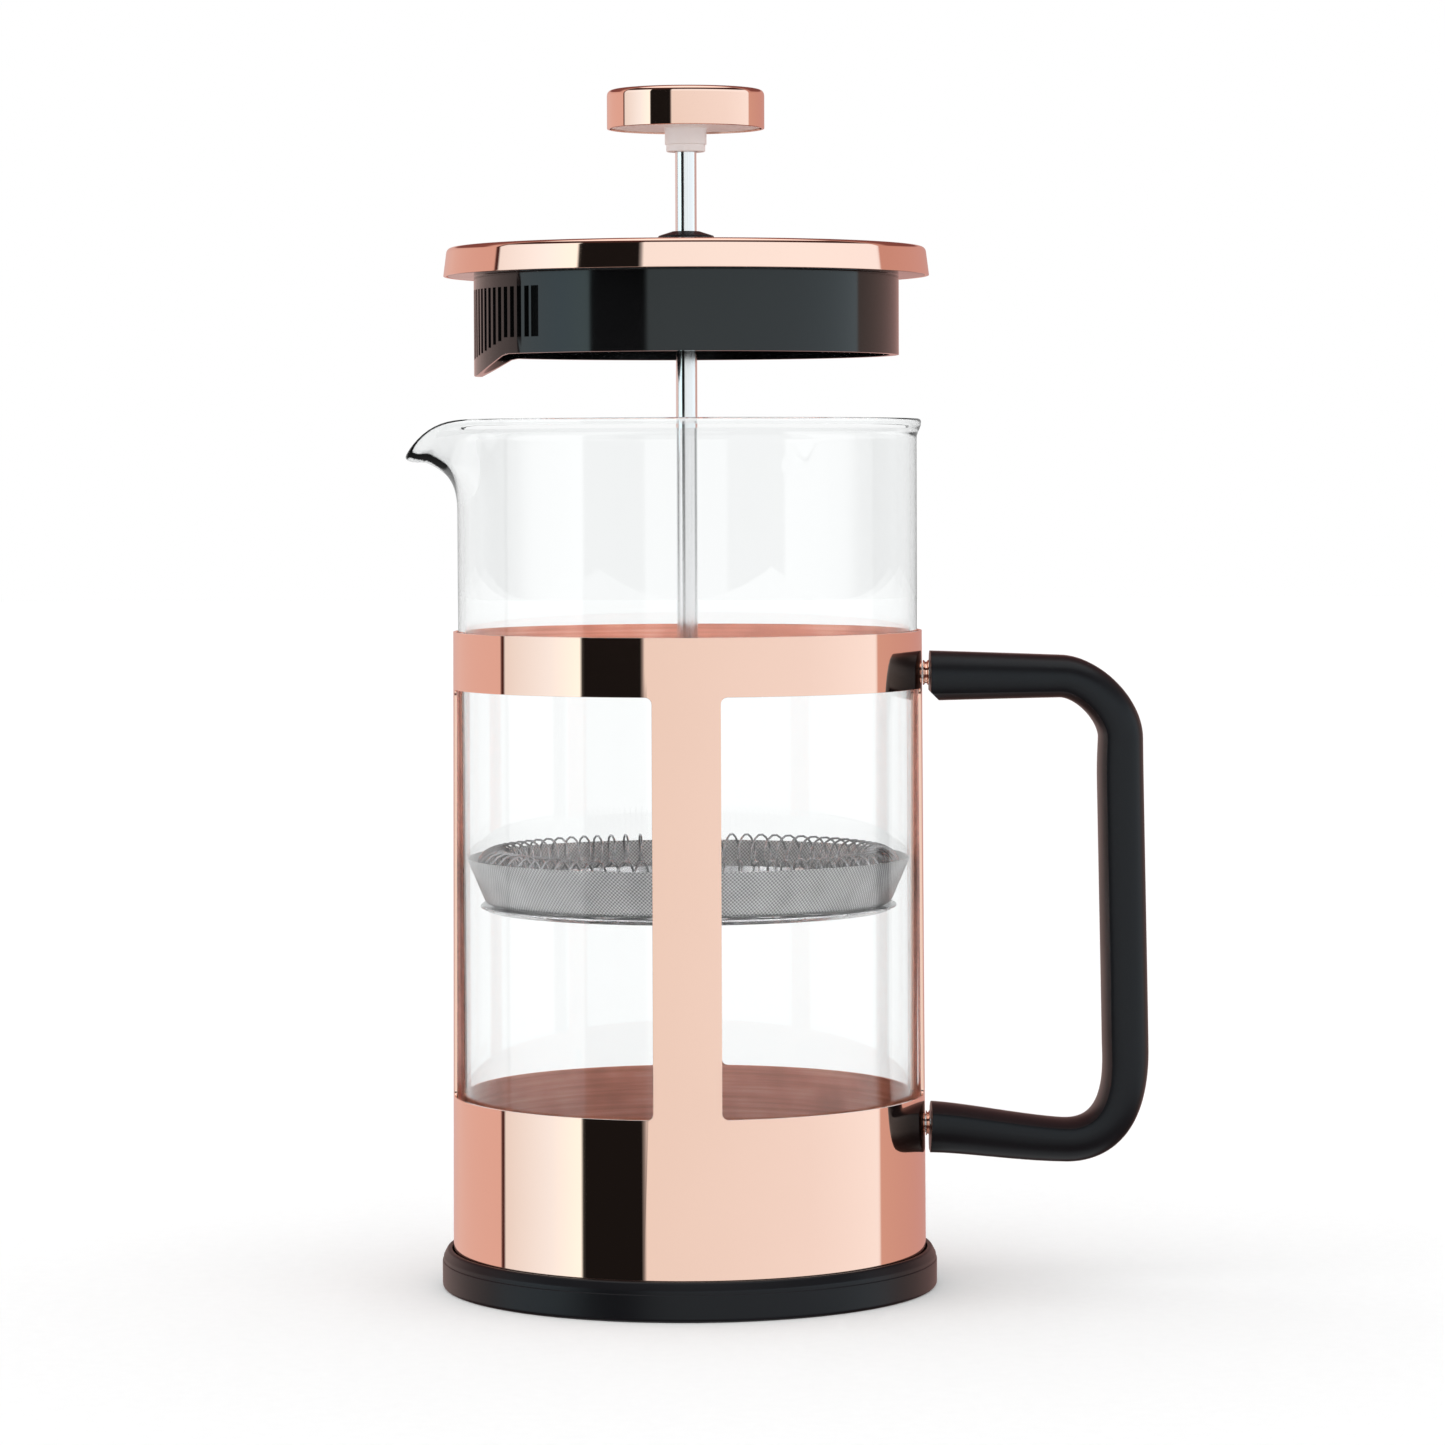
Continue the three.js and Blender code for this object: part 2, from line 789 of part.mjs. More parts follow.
add( 'base_coaster', baseCoaster(), 'blackPlastic' );
add( 'frame_shell', frameShell(), 'copper' );
add( 'handle_grip', handleGrip(), 'blackPlastic' );
add( 'handle_spacer_upper', handleSpacer( upperScrewZ ), 'copper' );
add( 'handle_spacer_lower', handleSpacer( lowerScrewZ ), 'copper' );
add( 'handle_screw_upper', handleScrew( upperScrewZ ), 'steel' );
add( 'handle_screw_lower', handleScrew( lowerScrewZ ), 'steel' );
add( 'glass_beaker', glassBeaker(), 'glass' );
add( 'lid_cover', lidCover(), 'copper' );
add( 'lid_body', lidBody(), 'glossBlack' );
add( 'guide_bush', guideBush(), 'blackPlastic' );
add( 'guide_nut', guideNut(), 'blackPlastic' );
add( 'plunger_rod', plungerRod(), 'steel' );
add( 'knob_shell', knobShell(), 'copper' );
add( 'knob_core', knobCore(), 'whitePlastic' );
add( 'rod_collar', rodRing( rodCollarWall, rodCollarZ, rodCollarHeight ), 'steel' );
add( 'spring_plate', springPlate(), 'steel' );
add( 'coil_spring', coilSpring(), 'steel' );
add( 'mesh_filter', meshFilter(), 'steel' );
add( 'perforated_plate', perforatedPlate(), 'steel' );
add( 'hub_nut', rodRing( hubWall, hubZ, hubHeight ), 'steel' );

export default group;
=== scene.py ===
import json
import math

import bpy
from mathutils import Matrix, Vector


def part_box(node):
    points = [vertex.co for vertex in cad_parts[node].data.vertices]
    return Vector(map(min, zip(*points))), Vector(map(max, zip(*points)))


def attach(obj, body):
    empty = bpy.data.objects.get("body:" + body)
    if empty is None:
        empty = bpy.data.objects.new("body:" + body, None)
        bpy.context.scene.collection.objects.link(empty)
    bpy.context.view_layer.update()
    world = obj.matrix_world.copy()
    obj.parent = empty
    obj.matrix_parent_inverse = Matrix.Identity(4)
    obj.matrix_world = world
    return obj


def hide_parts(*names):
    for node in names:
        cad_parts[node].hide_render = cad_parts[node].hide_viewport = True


# A french press on a pale studio floor. Sizes in the dictionaries are millimetres and degrees,
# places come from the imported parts.
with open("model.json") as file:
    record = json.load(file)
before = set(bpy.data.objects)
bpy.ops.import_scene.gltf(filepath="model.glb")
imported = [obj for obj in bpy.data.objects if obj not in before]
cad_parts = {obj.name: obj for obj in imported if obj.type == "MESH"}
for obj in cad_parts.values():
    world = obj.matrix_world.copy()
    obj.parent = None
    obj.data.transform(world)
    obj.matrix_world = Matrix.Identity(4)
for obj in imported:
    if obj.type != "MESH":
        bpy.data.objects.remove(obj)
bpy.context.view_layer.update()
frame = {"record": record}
mm = 0.001
bodyOf = {node: body for body, nodes in frame["record"]["behaviour"]["bodies"].items() for node in nodes}
scene = bpy.context.scene
scene.view_settings.view_transform = "Standard"


# small helpers

def linear(hexColour):
    channels = [int(hexColour[i:i + 2], 16) / 255 for i in (1, 3, 5)]
    return [c / 12.92 if c <= 0.04045 else ((c + 0.055) / 1.055) ** 2.4 for c in channels] + [1.0]


def addNode(tree, kind, settings=None, inputs=None):
    node = tree.nodes.new(kind)
    for name, value in (settings or {}).items():
        setattr(node, name, value)
    for socket, value in (inputs or {}).items():
        if isinstance(value, bpy.types.NodeSocket):
            tree.links.new(value, node.inputs[socket])
        else:
            node.inputs[socket].default_value = value
    return node


def setRamp(node, stops):
    elements = node.color_ramp.elements
    while len(elements) > 1:
        elements.remove(elements[-1])
    elements[0].position, elements[0].color = stops[0]
    for position, colour in stops[1:]:
        elements.new(position).color = colour
    return node.outputs["Color"]


def newMaterial(name):
    # an empty material, its node tree and the piece's own coordinates, in metres
    material = bpy.data.materials.new(name)
    material.use_nodes = True
    tree = material.node_tree
    tree.nodes.clear()
    return material, tree, addNode(tree, "ShaderNodeTexCoord").outputs["Object"]


def surfaceOut(tree, shader):
    addNode(tree, "ShaderNodeOutputMaterial", inputs={"Surface": shader.outputs[0]})


def clearSelection():
    if bpy.context.object and bpy.context.mode != "OBJECT":
        bpy.ops.object.mode_set(mode="OBJECT")
    bpy.ops.object.select_all(action="DESELECT")


def pick(piece):
    clearSelection()
    piece.select_set(True)
    bpy.context.view_layer.objects.active = piece


def applyModifier(piece, kind, **settings):
    pick(piece)
    modifier = piece.modifiers.new(kind.lower(), kind)
    for name, value in settings.items():
        setattr(modifier, name, value)
    bpy.ops.object.modifier_apply(modifier=modifier.name)


def cutAway(piece, cutter):
    applyModifier(piece, "BOOLEAN", operation="DIFFERENCE", solver="EXACT", object=cutter)
    bpy.data.objects.remove(cutter)


def rounded(corners, steps=4):
    # corners are (radius, height, fillet); each fillet becomes a short arc of points
    points = []
    for i, (r, z, fillet) in enumerate(corners):
        if fillet == 0 or i in (0, len(corners) - 1):
            points.append((r, z))
            continue
        here = Vector((r, z))
        back = Vector(corners[i - 1][:2]) - here
        ahead = Vector(corners[i + 1][:2]) - here
        half = back.angle(ahead) / 2
        reach = min(fillet / math.tan(half), back.length * 0.49, ahead.length * 0.49)
        first, last = here + back.normalized() * reach, here + ahead.normalized() * reach
        for k in range(steps + 1):
            t = k / steps
            points.append(tuple(first * (1 - t) ** 2 + here * 2 * t * (1 - t) + last * t ** 2))
    return points


def drawnOutline(outline, across=0):
    # a plane shrunk to one point is drawn out along an outline in x and z, and is left in edit mode
    points = [(x * mm, z * mm) for x, z in outline]
    clearSelection()
    x, z = points[0]
    bpy.ops.mesh.primitive_plane_add(size=mm, location=(x, across * mm, z))
    bpy.ops.object.transform_apply(location=True)
    bpy.ops.object.mode_set(mode="EDIT")
    bpy.ops.mesh.select_mode(type="VERT")
    bpy.ops.mesh.select_all(action="SELECT")
    bpy.ops.mesh.merge(type="CENTER")
    for nextX, nextZ in points[1:]:
        bpy.ops.mesh.extrude_region_move(TRANSFORM_OT_translate={"value": (nextX - x, 0, nextZ - z)})
        x, z = nextX, nextZ
    return bpy.context.object


def spunPiece(name, profile, steps=128, closed=False):
    # a profile of (radius, height) is drawn and spun round the pot's axis
    piece = drawnOutline([*profile, profile[0]] if closed else profile)
    piece.name = piece.data.name = name
    bpy.ops.mesh.select_all(action="SELECT")
    bpy.ops.mesh.spin(steps=steps, angle=math.tau, center=(0, 0, 0), axis=(0, 0, 1))
    bpy.ops.mesh.select_all(action="SELECT")
    bpy.ops.mesh.remove_doubles(threshold=2e-6)
    bpy.ops.mesh.delete_loose()
    bpy.ops.mesh.select_all(action="SELECT")
    bpy.ops.mesh.normals_make_consistent(inside=False)
    bpy.ops.object.mode_set(mode="OBJECT")
    return piece


def boxPiece(low, high, roundedEdges=None, fillet=0, segments=6):
    # a block between two corners, in millimetres, with some of its edges rounded
    clearSelection()
    middle = [(a + b) / 2 * mm for a, b in zip(low, high)]
    bpy.ops.mesh.primitive_cube_add(size=1, location=middle, scale=[(b - a) * mm for a, b in zip(low, high)])
    piece = bpy.context.object
    bpy.ops.object.transform_apply(location=True, scale=True)
    if roundedEdges:
        bpy.ops.object.mode_set(mode="EDIT")
        bpy.ops.mesh.select_mode(type="EDGE")
        bpy.ops.mesh.select_all(action="DESELECT")
        bpy.ops.object.mode_set(mode="OBJECT")
        corners = piece.data.vertices
        for edge in piece.data.edges:
            a, b = (corners[i].co / mm for i in edge.vertices)
            edge.select = roundedEdges((a + b) / 2, (b - a).normalized())
        bpy.ops.object.mode_set(mode="EDIT")
        bpy.ops.mesh.bevel(offset=fillet * mm, segments=segments, affect="EDGES")
        bpy.ops.object.mode_set(mode="OBJECT")
    return piece


def joined(pieces):
    clearSelection()
    for piece in pieces:
        piece.select_set(True)
    bpy.context.view_layer.objects.active = pieces[0]
    bpy.ops.object.join()
    return bpy.context.object


def copyOf(piece, turn=0.0, shift=(0, 0, 0)):
    copy = piece.copy()
    copy.data = piece.data.copy()
    scene.collection.objects.link(copy)
    pick(copy)
    copy.rotation_euler.z = turn
    copy.location = shift
    bpy.ops.object.transform_apply(location=True, rotation=True)
    return copy


def layAlongX(piece, height, out=0):
    # a piece spun upright is laid down: what was up now points away from the pot
    pick(piece)
    piece.rotation_euler.y = math.pi / 2
    piece.location = (out * mm, 0, height * mm)
    bpy.ops.object.transform_apply(location=True, rotation=True)
    return piece


def softenEdges(piece, width, segments, sharperThan):
    # every edge sharper than an angle gets a small round
    applyModifier(piece, "BEVEL", width=width * mm, segments=segments, limit_method="ANGLE",
                  angle_limit=math.radians(sharperThan))


def finishPiece(piece, node, material, smooth=35, alsoNodes=()):
    pick(piece)
    bpy.ops.object.shade_smooth_by_angle(angle=math.radians(smooth))
    # weighted normals keep long faces flat beside their rounded edges
    applyModifier(piece, "WEIGHTED_NORMAL", mode="FACE_AREA", weight=50, keep_sharp=True)
    if not piece.data.materials:
        piece.data.materials.append(material)
    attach(piece, bodyOf[node])
    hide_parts(node, *alsoNodes)
    print("made", piece.name, len(piece.data.polygons), "faces")
    return piece


def smoothShare(value, start, end):
    t = min(1, max(0, (value - start) / (end - start)))
    return t * t * (3 - 2 * t)


def boxOf(node):
    low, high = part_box(node)
    return low / mm, high / mm


# materials, each one named for what it is made of and how its surface was made;
# a noise's scale counts its lumps in a metre, so 2000 draws them half a millimetre wide

def copperPlated():
    # nickel-smooth copper plate: a mirror with a pale rose cast and faint rolling lines round the sheet
    material, tree, place = newMaterial("polishedCopperPlate")
    clouds = addNode(tree, "ShaderNodeTexNoise", inputs={"Vector": place, "Scale": 35, "Detail": 3})
    roughness = addNode(tree, "ShaderNodeMapRange", inputs={
        "Value": clouds.outputs["Fac"], "From Min": 0.35, "From Max": 0.7, "To Min": 0.02, "To Max": 0.045})
    stretched = addNode(tree, "ShaderNodeMapping", inputs={"Vector": place, "Scale": (6, 6, 2500)})
    lines = addNode(tree, "ShaderNodeTexNoise", inputs={
        "Vector": stretched.outputs["Vector"], "Scale": 1, "Detail": 2})
    bump = addNode(tree, "ShaderNodeBump", inputs={
        "Height": lines.outputs["Fac"], "Strength": 0.02, "Distance": 0.00004})
    tone = addNode(tree, "ShaderNodeMix", {"data_type": "RGBA"}, {
        "Factor": clouds.outputs["Fac"], 6: linear("#f8d0be"), 7: linear("#f4ccba")})
    shader = addNode(tree, "ShaderNodeBsdfPrincipled", inputs={
        "Base Color": tone.outputs[2], "Metallic": 1.0, "Roughness": roughness.outputs["Result"],
        "Normal": bump.outputs["Normal"]})
    surfaceOut(tree, shader)
    return material


def copperBrushed():
    # the sheet's inner face is left brushed, so it is browner and carries long level hairlines
    material, tree, place = newMaterial("brushedCopperPlate")
    hair = addNode(tree, "ShaderNodeMapping", inputs={"Vector": place, "Scale": (25, 25, 1400)})
    hairline = addNode(tree, "ShaderNodeTexNoise", inputs={
        "Vector": hair.outputs["Vector"], "Scale": 1, "Detail": 4})
    broad = addNode(tree, "ShaderNodeTexNoise", inputs={"Vector": place, "Scale": 90, "Detail": 2})
    mixed = addNode(tree, "ShaderNodeMath", {"operation": "MULTIPLY"}, {
        0: hairline.outputs["Fac"], 1: broad.outputs["Fac"]})
    tone = addNode(tree, "ShaderNodeValToRGB", inputs={"Fac": mixed.outputs["Value"]})
    shade = setRamp(tone, [(0.12, linear("#cf7c63")), (0.25, linear("#e69078")), (0.42, linear("#f4ad96"))])
    bump = addNode(tree, "ShaderNodeBump", inputs={
        "Height": hairline.outputs["Fac"], "Strength": 0.25, "Distance": 0.00006})
    shader = addNode(tree, "ShaderNodeBsdfPrincipled", inputs={
        "Base Color": shade, "Metallic": 0.4, "Roughness": 0.36, "Normal": bump.outputs["Normal"]})
    surfaceOut(tree, shader)
    return material


def mouldedBlack():
    # ABS from a spark-eroded mould: near black with a soft sheen; its grain is finer than a tenth of a
    # millimetre and is drawn at half a millimetre, so that it shows
    material, tree, place = newMaterial("mouldedSatinAbs")
    grain = addNode(tree, "ShaderNodeTexNoise", inputs={"Vector": place, "Scale": 2000, "Detail": 2})
    flow = addNode(tree, "ShaderNodeTexNoise", inputs={"Vector": place, "Scale": 45, "Detail": 2})
    roughness = addNode(tree, "ShaderNodeMapRange", inputs={
        "Value": flow.outputs["Fac"], "From Min": 0.3, "From Max": 0.7, "To Min": 0.3, "To Max": 0.38})
    tone = addNode(tree, "ShaderNodeMix", {"data_type": "RGBA"}, {
        "Factor": flow.outputs["Fac"], 6: linear("#0f0f12"), 7: linear("#16161a")})
    bump = addNode(tree, "ShaderNodeBump", inputs={
        "Height": grain.outputs["Fac"], "Strength": 0.15, "Distance": 0.00003})
    shader = addNode(tree, "ShaderNodeBsdfPrincipled", inputs={
        "Base Color": tone.outputs[2], "Roughness": roughness.outputs["Result"], "IOR": 1.5,
        "Specular IOR Level": 0.25, "Specular Tint": (0.92, 0.97, 1.0, 1.0),
        "Normal": bump.outputs["Normal"]})
    surfaceOut(tree, shader)
    return material


def glossBlack():
    # polypropylene from a polished mould: black glass-like skirt with a very slight waviness
    material, tree, place = newMaterial("mouldedGlossPolypropylene")
    wave = addNode(tree, "ShaderNodeTexNoise", inputs={"Vector": place, "Scale": 60, "Detail": 2})
    roughness = addNode(tree, "ShaderNodeMapRange", inputs={
        "Value": wave.outputs["Fac"], "From Min": 0.3, "From Max": 0.7, "To Min": 0.05, "To Max": 0.1})
    bump = addNode(tree, "ShaderNodeBump", inputs={
        "Height": wave.outputs["Fac"], "Strength": 0.03, "Distance": 0.0003})
    tone = addNode(tree, "ShaderNodeMix", {"data_type": "RGBA"}, {
        "Factor": wave.outputs["Fac"], 6: linear("#0b0b0c"), 7: linear("#121213")})
    shader = addNode(tree, "ShaderNodeBsdfPrincipled", inputs={
        "Base Color": tone.outputs[2], "Roughness": roughness.outputs["Result"], "IOR": 1.5,
        "Specular Tint": (0.88, 0.97, 1.0, 1.0), "Normal": bump.outputs["Normal"]})
    surfaceOut(tree, shader)
    return material


def whiteMoulded():
    # white polypropylene: slightly warm, milky, with a fine matt grain
    material, tree, place = newMaterial("mouldedWhitePolypropylene")
    grain = addNode(tree, "ShaderNodeTexNoise", inputs={"Vector": place, "Scale": 1500, "Detail": 2})
    tone = addNode(tree, "ShaderNodeMix", {"data_type": "RGBA"}, {
        "Factor": grain.outputs["Fac"], 6: linear("#faf7f7"), 7: linear("#fefcfc")})
    bump = addNode(tree, "ShaderNodeBump", inputs={
        "Height": grain.outputs["Fac"], "Strength": 0.1, "Distance": 0.00002})
    shader = addNode(tree, "ShaderNodeBsdfPrincipled", inputs={
        "Base Color": tone.outputs[2], "Roughness": 0.35, "IOR": 1.49, "Normal": bump.outputs["Normal"]})
    surfaceOut(tree, shader)
    return material


def steelDrawn():
    # drawn stainless bar: long fine lines down its length
    material, tree, place = newMaterial("drawnStainlessSteel")
    long = addNode(tree, "ShaderNodeMapping", inputs={"Vector": place, "Scale": (4000, 4000, 30)})
    lines = addNode(tree, "ShaderNodeTexNoise", inputs={
        "Vector": long.outputs["Vector"], "Scale": 1, "Detail": 2})
    roughness = addNode(tree, "ShaderNodeMapRange", inputs={
        "Value": lines.outputs["Fac"], "From Min": 0.3, "From Max": 0.7, "To Min": 0.08, "To Max": 0.16})
    bump = addNode(tree, "ShaderNodeBump", inputs={
        "Height": lines.outputs["Fac"], "Strength": 0.05, "Distance": 0.00002})
    tone = addNode(tree, "ShaderNodeMix", {"data_type": "RGBA"}, {
        "Factor": lines.outputs["Fac"], 6: linear("#e6e6e8"), 7: linear("#f6f6f6")})
    shader = addNode(tree, "ShaderNodeBsdfPrincipled", inputs={
        "Base Color": tone.outputs[2], "Metallic": 1.0, "Roughness": roughness.outputs["Result"],
        "Normal": bump.outputs["Normal"]})
    surfaceOut(tree, shader)
    return material


def steelPressed():
    # pressed stainless sheet and turned nuts: bright, with cloudy tumbling marks
    material, tree, place = newMaterial("pressedStainlessSteel")
    marks = addNode(tree, "ShaderNodeTexNoise", inputs={"Vector": place, "Scale": 260, "Detail": 4})
    roughness = addNode(tree, "ShaderNodeMapRange", inputs={
        "Value": marks.outputs["Fac"], "From Min": 0.3, "From Max": 0.7, "To Min": 0.16, "To Max": 0.3})
    tone = addNode(tree, "ShaderNodeMix", {"data_type": "RGBA"}, {
        "Factor": marks.outputs["Fac"], 6: linear("#c2c2c4"), 7: linear("#dededf")})
    bump = addNode(tree, "ShaderNodeBump", inputs={
        "Height": marks.outputs["Fac"], "Strength": 0.06, "Distance": 0.00005})
    shader = addNode(tree, "ShaderNodeBsdfPrincipled", inputs={
        "Base Color": tone.outputs[2], "Metallic": 0.75, "Roughness": roughness.outputs["Result"],
        "Normal": bump.outputs["Normal"]})
    surfaceOut(tree, shader)
    return material


def steelWire():
    # spring wire: darker drawn stainless with a soft shine
    material, tree, place = newMaterial("drawnSpringWire")
    marks = addNode(tree, "ShaderNodeTexNoise", inputs={"Vector": place, "Scale": 900, "Detail": 2})
    tone = addNode(tree, "ShaderNodeMix", {"data_type": "RGBA"}, {
        "Factor": marks.outputs["Fac"], 6: linear("#a9a9ab"), 7: linear("#cfcfd1")})
    shader = addNode(tree, "ShaderNodeBsdfPrincipled", inputs={
        "Base Color": tone.outputs[2], "Metallic": 1.0, "Roughness": 0.24})
    surfaceOut(tree, shader)
    return material


def steelWoven(footRadius):
    # stainless gauze: real threads are about 0.2 mm apart, drawn at 0.8 mm so that the weave shows
    material, tree, place = newMaterial("wovenStainlessGauze")
    spacing = 0.8 * mm
    split = addNode(tree, "ShaderNodeSeparateXYZ", inputs={0: place})
    bearing = addNode(tree, "ShaderNodeMath", {"operation": "ARCTAN2"}, {
        0: split.outputs["Y"], 1: split.outputs["X"]})

    def threads(source, scale):
        turned = addNode(tree, "ShaderNodeMath", {"operation": "MULTIPLY"}, {0: source, 1: scale})
        wave = addNode(tree, "ShaderNodeMath", {"operation": "SINE"}, {0: turned.outputs["Value"]})
        return wave.outputs["Value"]

    perMetre = math.tau / spacing
    wholeThreads = math.floor(footRadius * mm * perMetre + 0.5)  # a whole number, so the seam closes
    warp = threads(bearing.outputs["Value"], wholeThreads)
    weft = threads(split.outputs["Z"], perMetre)
    flatWarp, flatWeft = threads(split.outputs["X"], perMetre), threads(split.outputs["Y"], perMetre)
    wall = addNode(tree, "ShaderNodeMath", {"operation": "MULTIPLY"}, {0: warp, 1: weft})
    floor = addNode(tree, "ShaderNodeMath", {"operation": "MULTIPLY"}, {0: flatWarp, 1: flatWeft})
    facing = addNode(tree, "ShaderNodeSeparateXYZ", inputs={
        0: addNode(tree, "ShaderNodeNewGeometry").outputs["Normal"]})
    up = addNode(tree, "ShaderNodeMath", {"operation": "ABSOLUTE"}, {0: facing.outputs["Z"]})
    level = addNode(tree, "ShaderNodeMath", {"operation": "GREATER_THAN"}, {0: up.outputs["Value"], 1: 0.8})
    weave = addNode(tree, "ShaderNodeMix", {"data_type": "FLOAT"}, {
        0: level.outputs["Value"], 2: wall.outputs["Value"], 3: floor.outputs["Value"]})
    patches = addNode(tree, "ShaderNodeTexNoise", inputs={"Vector": place, "Scale": 160, "Detail": 3})
    # painted highlight and painted shade: the gauze is coloured lighter on the raised crossings of the weave
    # and darker where threads dip under; the noise patches add random tone
    weaveShadeAndPatches = addNode(tree, "ShaderNodeMath", {"operation": "MULTIPLY_ADD"}, {
        0: patches.outputs["Fac"], 1: 0.9, 2: weave.outputs["Result"]})
    height = addNode(tree, "ShaderNodeMapRange", inputs={
        "Value": weaveShadeAndPatches.outputs["Value"], "From Min": -0.6, "From Max": 1.5, "To Min": 0.0, "To Max": 1.0})
    tone = addNode(tree, "ShaderNodeValToRGB", inputs={"Fac": height.outputs["Result"]})
    shade = setRamp(tone, [(0.0, linear("#6c6c6d")), (0.45, linear("#aeaeaf")), (1.0, linear("#e4e4e4"))])
    bump = addNode(tree, "ShaderNodeBump", inputs={
        "Height": weave.outputs["Result"], "Strength": 0.6, "Distance": 0.00008})
    shader = addNode(tree, "ShaderNodeBsdfPrincipled", inputs={
        "Base Color": shade, "Metallic": 0.93, "Roughness": 0.42, "Normal": bump.outputs["Normal"]})
    surfaceOut(tree, shader)
    return material


def beakerGlass():
    # blown borosilicate: water clear, with long shallow draw lines down the wall
    material, tree, place = newMaterial("blownBorosilicateGlass")
    long = addNode(tree, "ShaderNodeMapping", inputs={"Vector": place, "Scale": (70, 70, 3)})
    lines = addNode(tree, "ShaderNodeTexNoise", inputs={
        "Vector": long.outputs["Vector"], "Scale": 1, "Detail": 2})
    bump = addNode(tree, "ShaderNodeBump", inputs={
        "Height": lines.outputs["Fac"], "Strength": 0.08, "Distance": 0.0002})
    shader = addNode(tree, "ShaderNodeBsdfPrincipled", inputs={
        "Base Color": linear("#fdfefe"), "Roughness": 0.0, "IOR": 1.474, "Transmission Weight": 1.0,
        "Normal": bump.outputs["Normal"]})
    surfaceOut(tree, shader)
    return material


copper, brushedCopper = copperPlated(), copperBrushed()
satinBlack, blackGloss, whitePlastic = mouldedBlack(), glossBlack(), whiteMoulded()
drawnSteel, pressedSteel, springSteel = steelDrawn(), steelPressed(), steelWire()
clearGlass = beakerGlass()
print("materials made")

# camera, studio and floor

studio = {"metalLight": 1.5, "softLight": 1.12, "gainThroughGlass": 10.0, "mirroredInGlass": 1.3,
          "floorGlow": 0.11}
# bearings of the cards' edges, in degrees from the camera, + to its right
cards = {"warmBack": -150, "gapStart": (-103.6, -103.0), "gapEnd": (-101.0, -100.4), "bright": -70,
         "flagStart": (-53.0, -52.0), "flagEnd": (-21.4, -20.4), "peachMid": 60, "peachEnd": (105.3, 106.3),
         "dimBack": 150}
# where each part of the room fades in: z is the height and y the depth of a direction of length 1
fades = {"raisedZ": (0.04, 0.2), "backZ": (0.22, 0.30), "backY": (0.25, 0.4), "ceilingZ": (0.42, 0.52),
         "edgeFromZ": (0.42, 0.46), "edgeToZ": (0.82, 0.76), "edgeY": (0.4, 0.15),
         "dimFloorZ": (-0.28, -0.36), "floorZ": (-0.78, -0.92), "gainY": (0.1, -0.2),
         "mirroredY": (-0.05, -0.3)}
shot = {"place": (0.0077, -1.109, 0.1767), "pitch": -2.80, "roll": 0.20, "lens": 127.33, "sensor": 36}
bpy.ops.object.camera_add(location=shot["place"], rotation=(
    math.radians(90 + shot["pitch"]), math.radians(shot["roll"]), 0))
camera = bpy.context.object
camera.data.lens, camera.data.sensor_width = shot["lens"], shot["sensor"]
camera.data.clip_start, camera.data.clip_end = 0.05, 50
scene.camera = camera


def greyOf(value):
    return (value, value, value, 1)


def warmOf(r, g, b):
    return (r, g, b, 1)


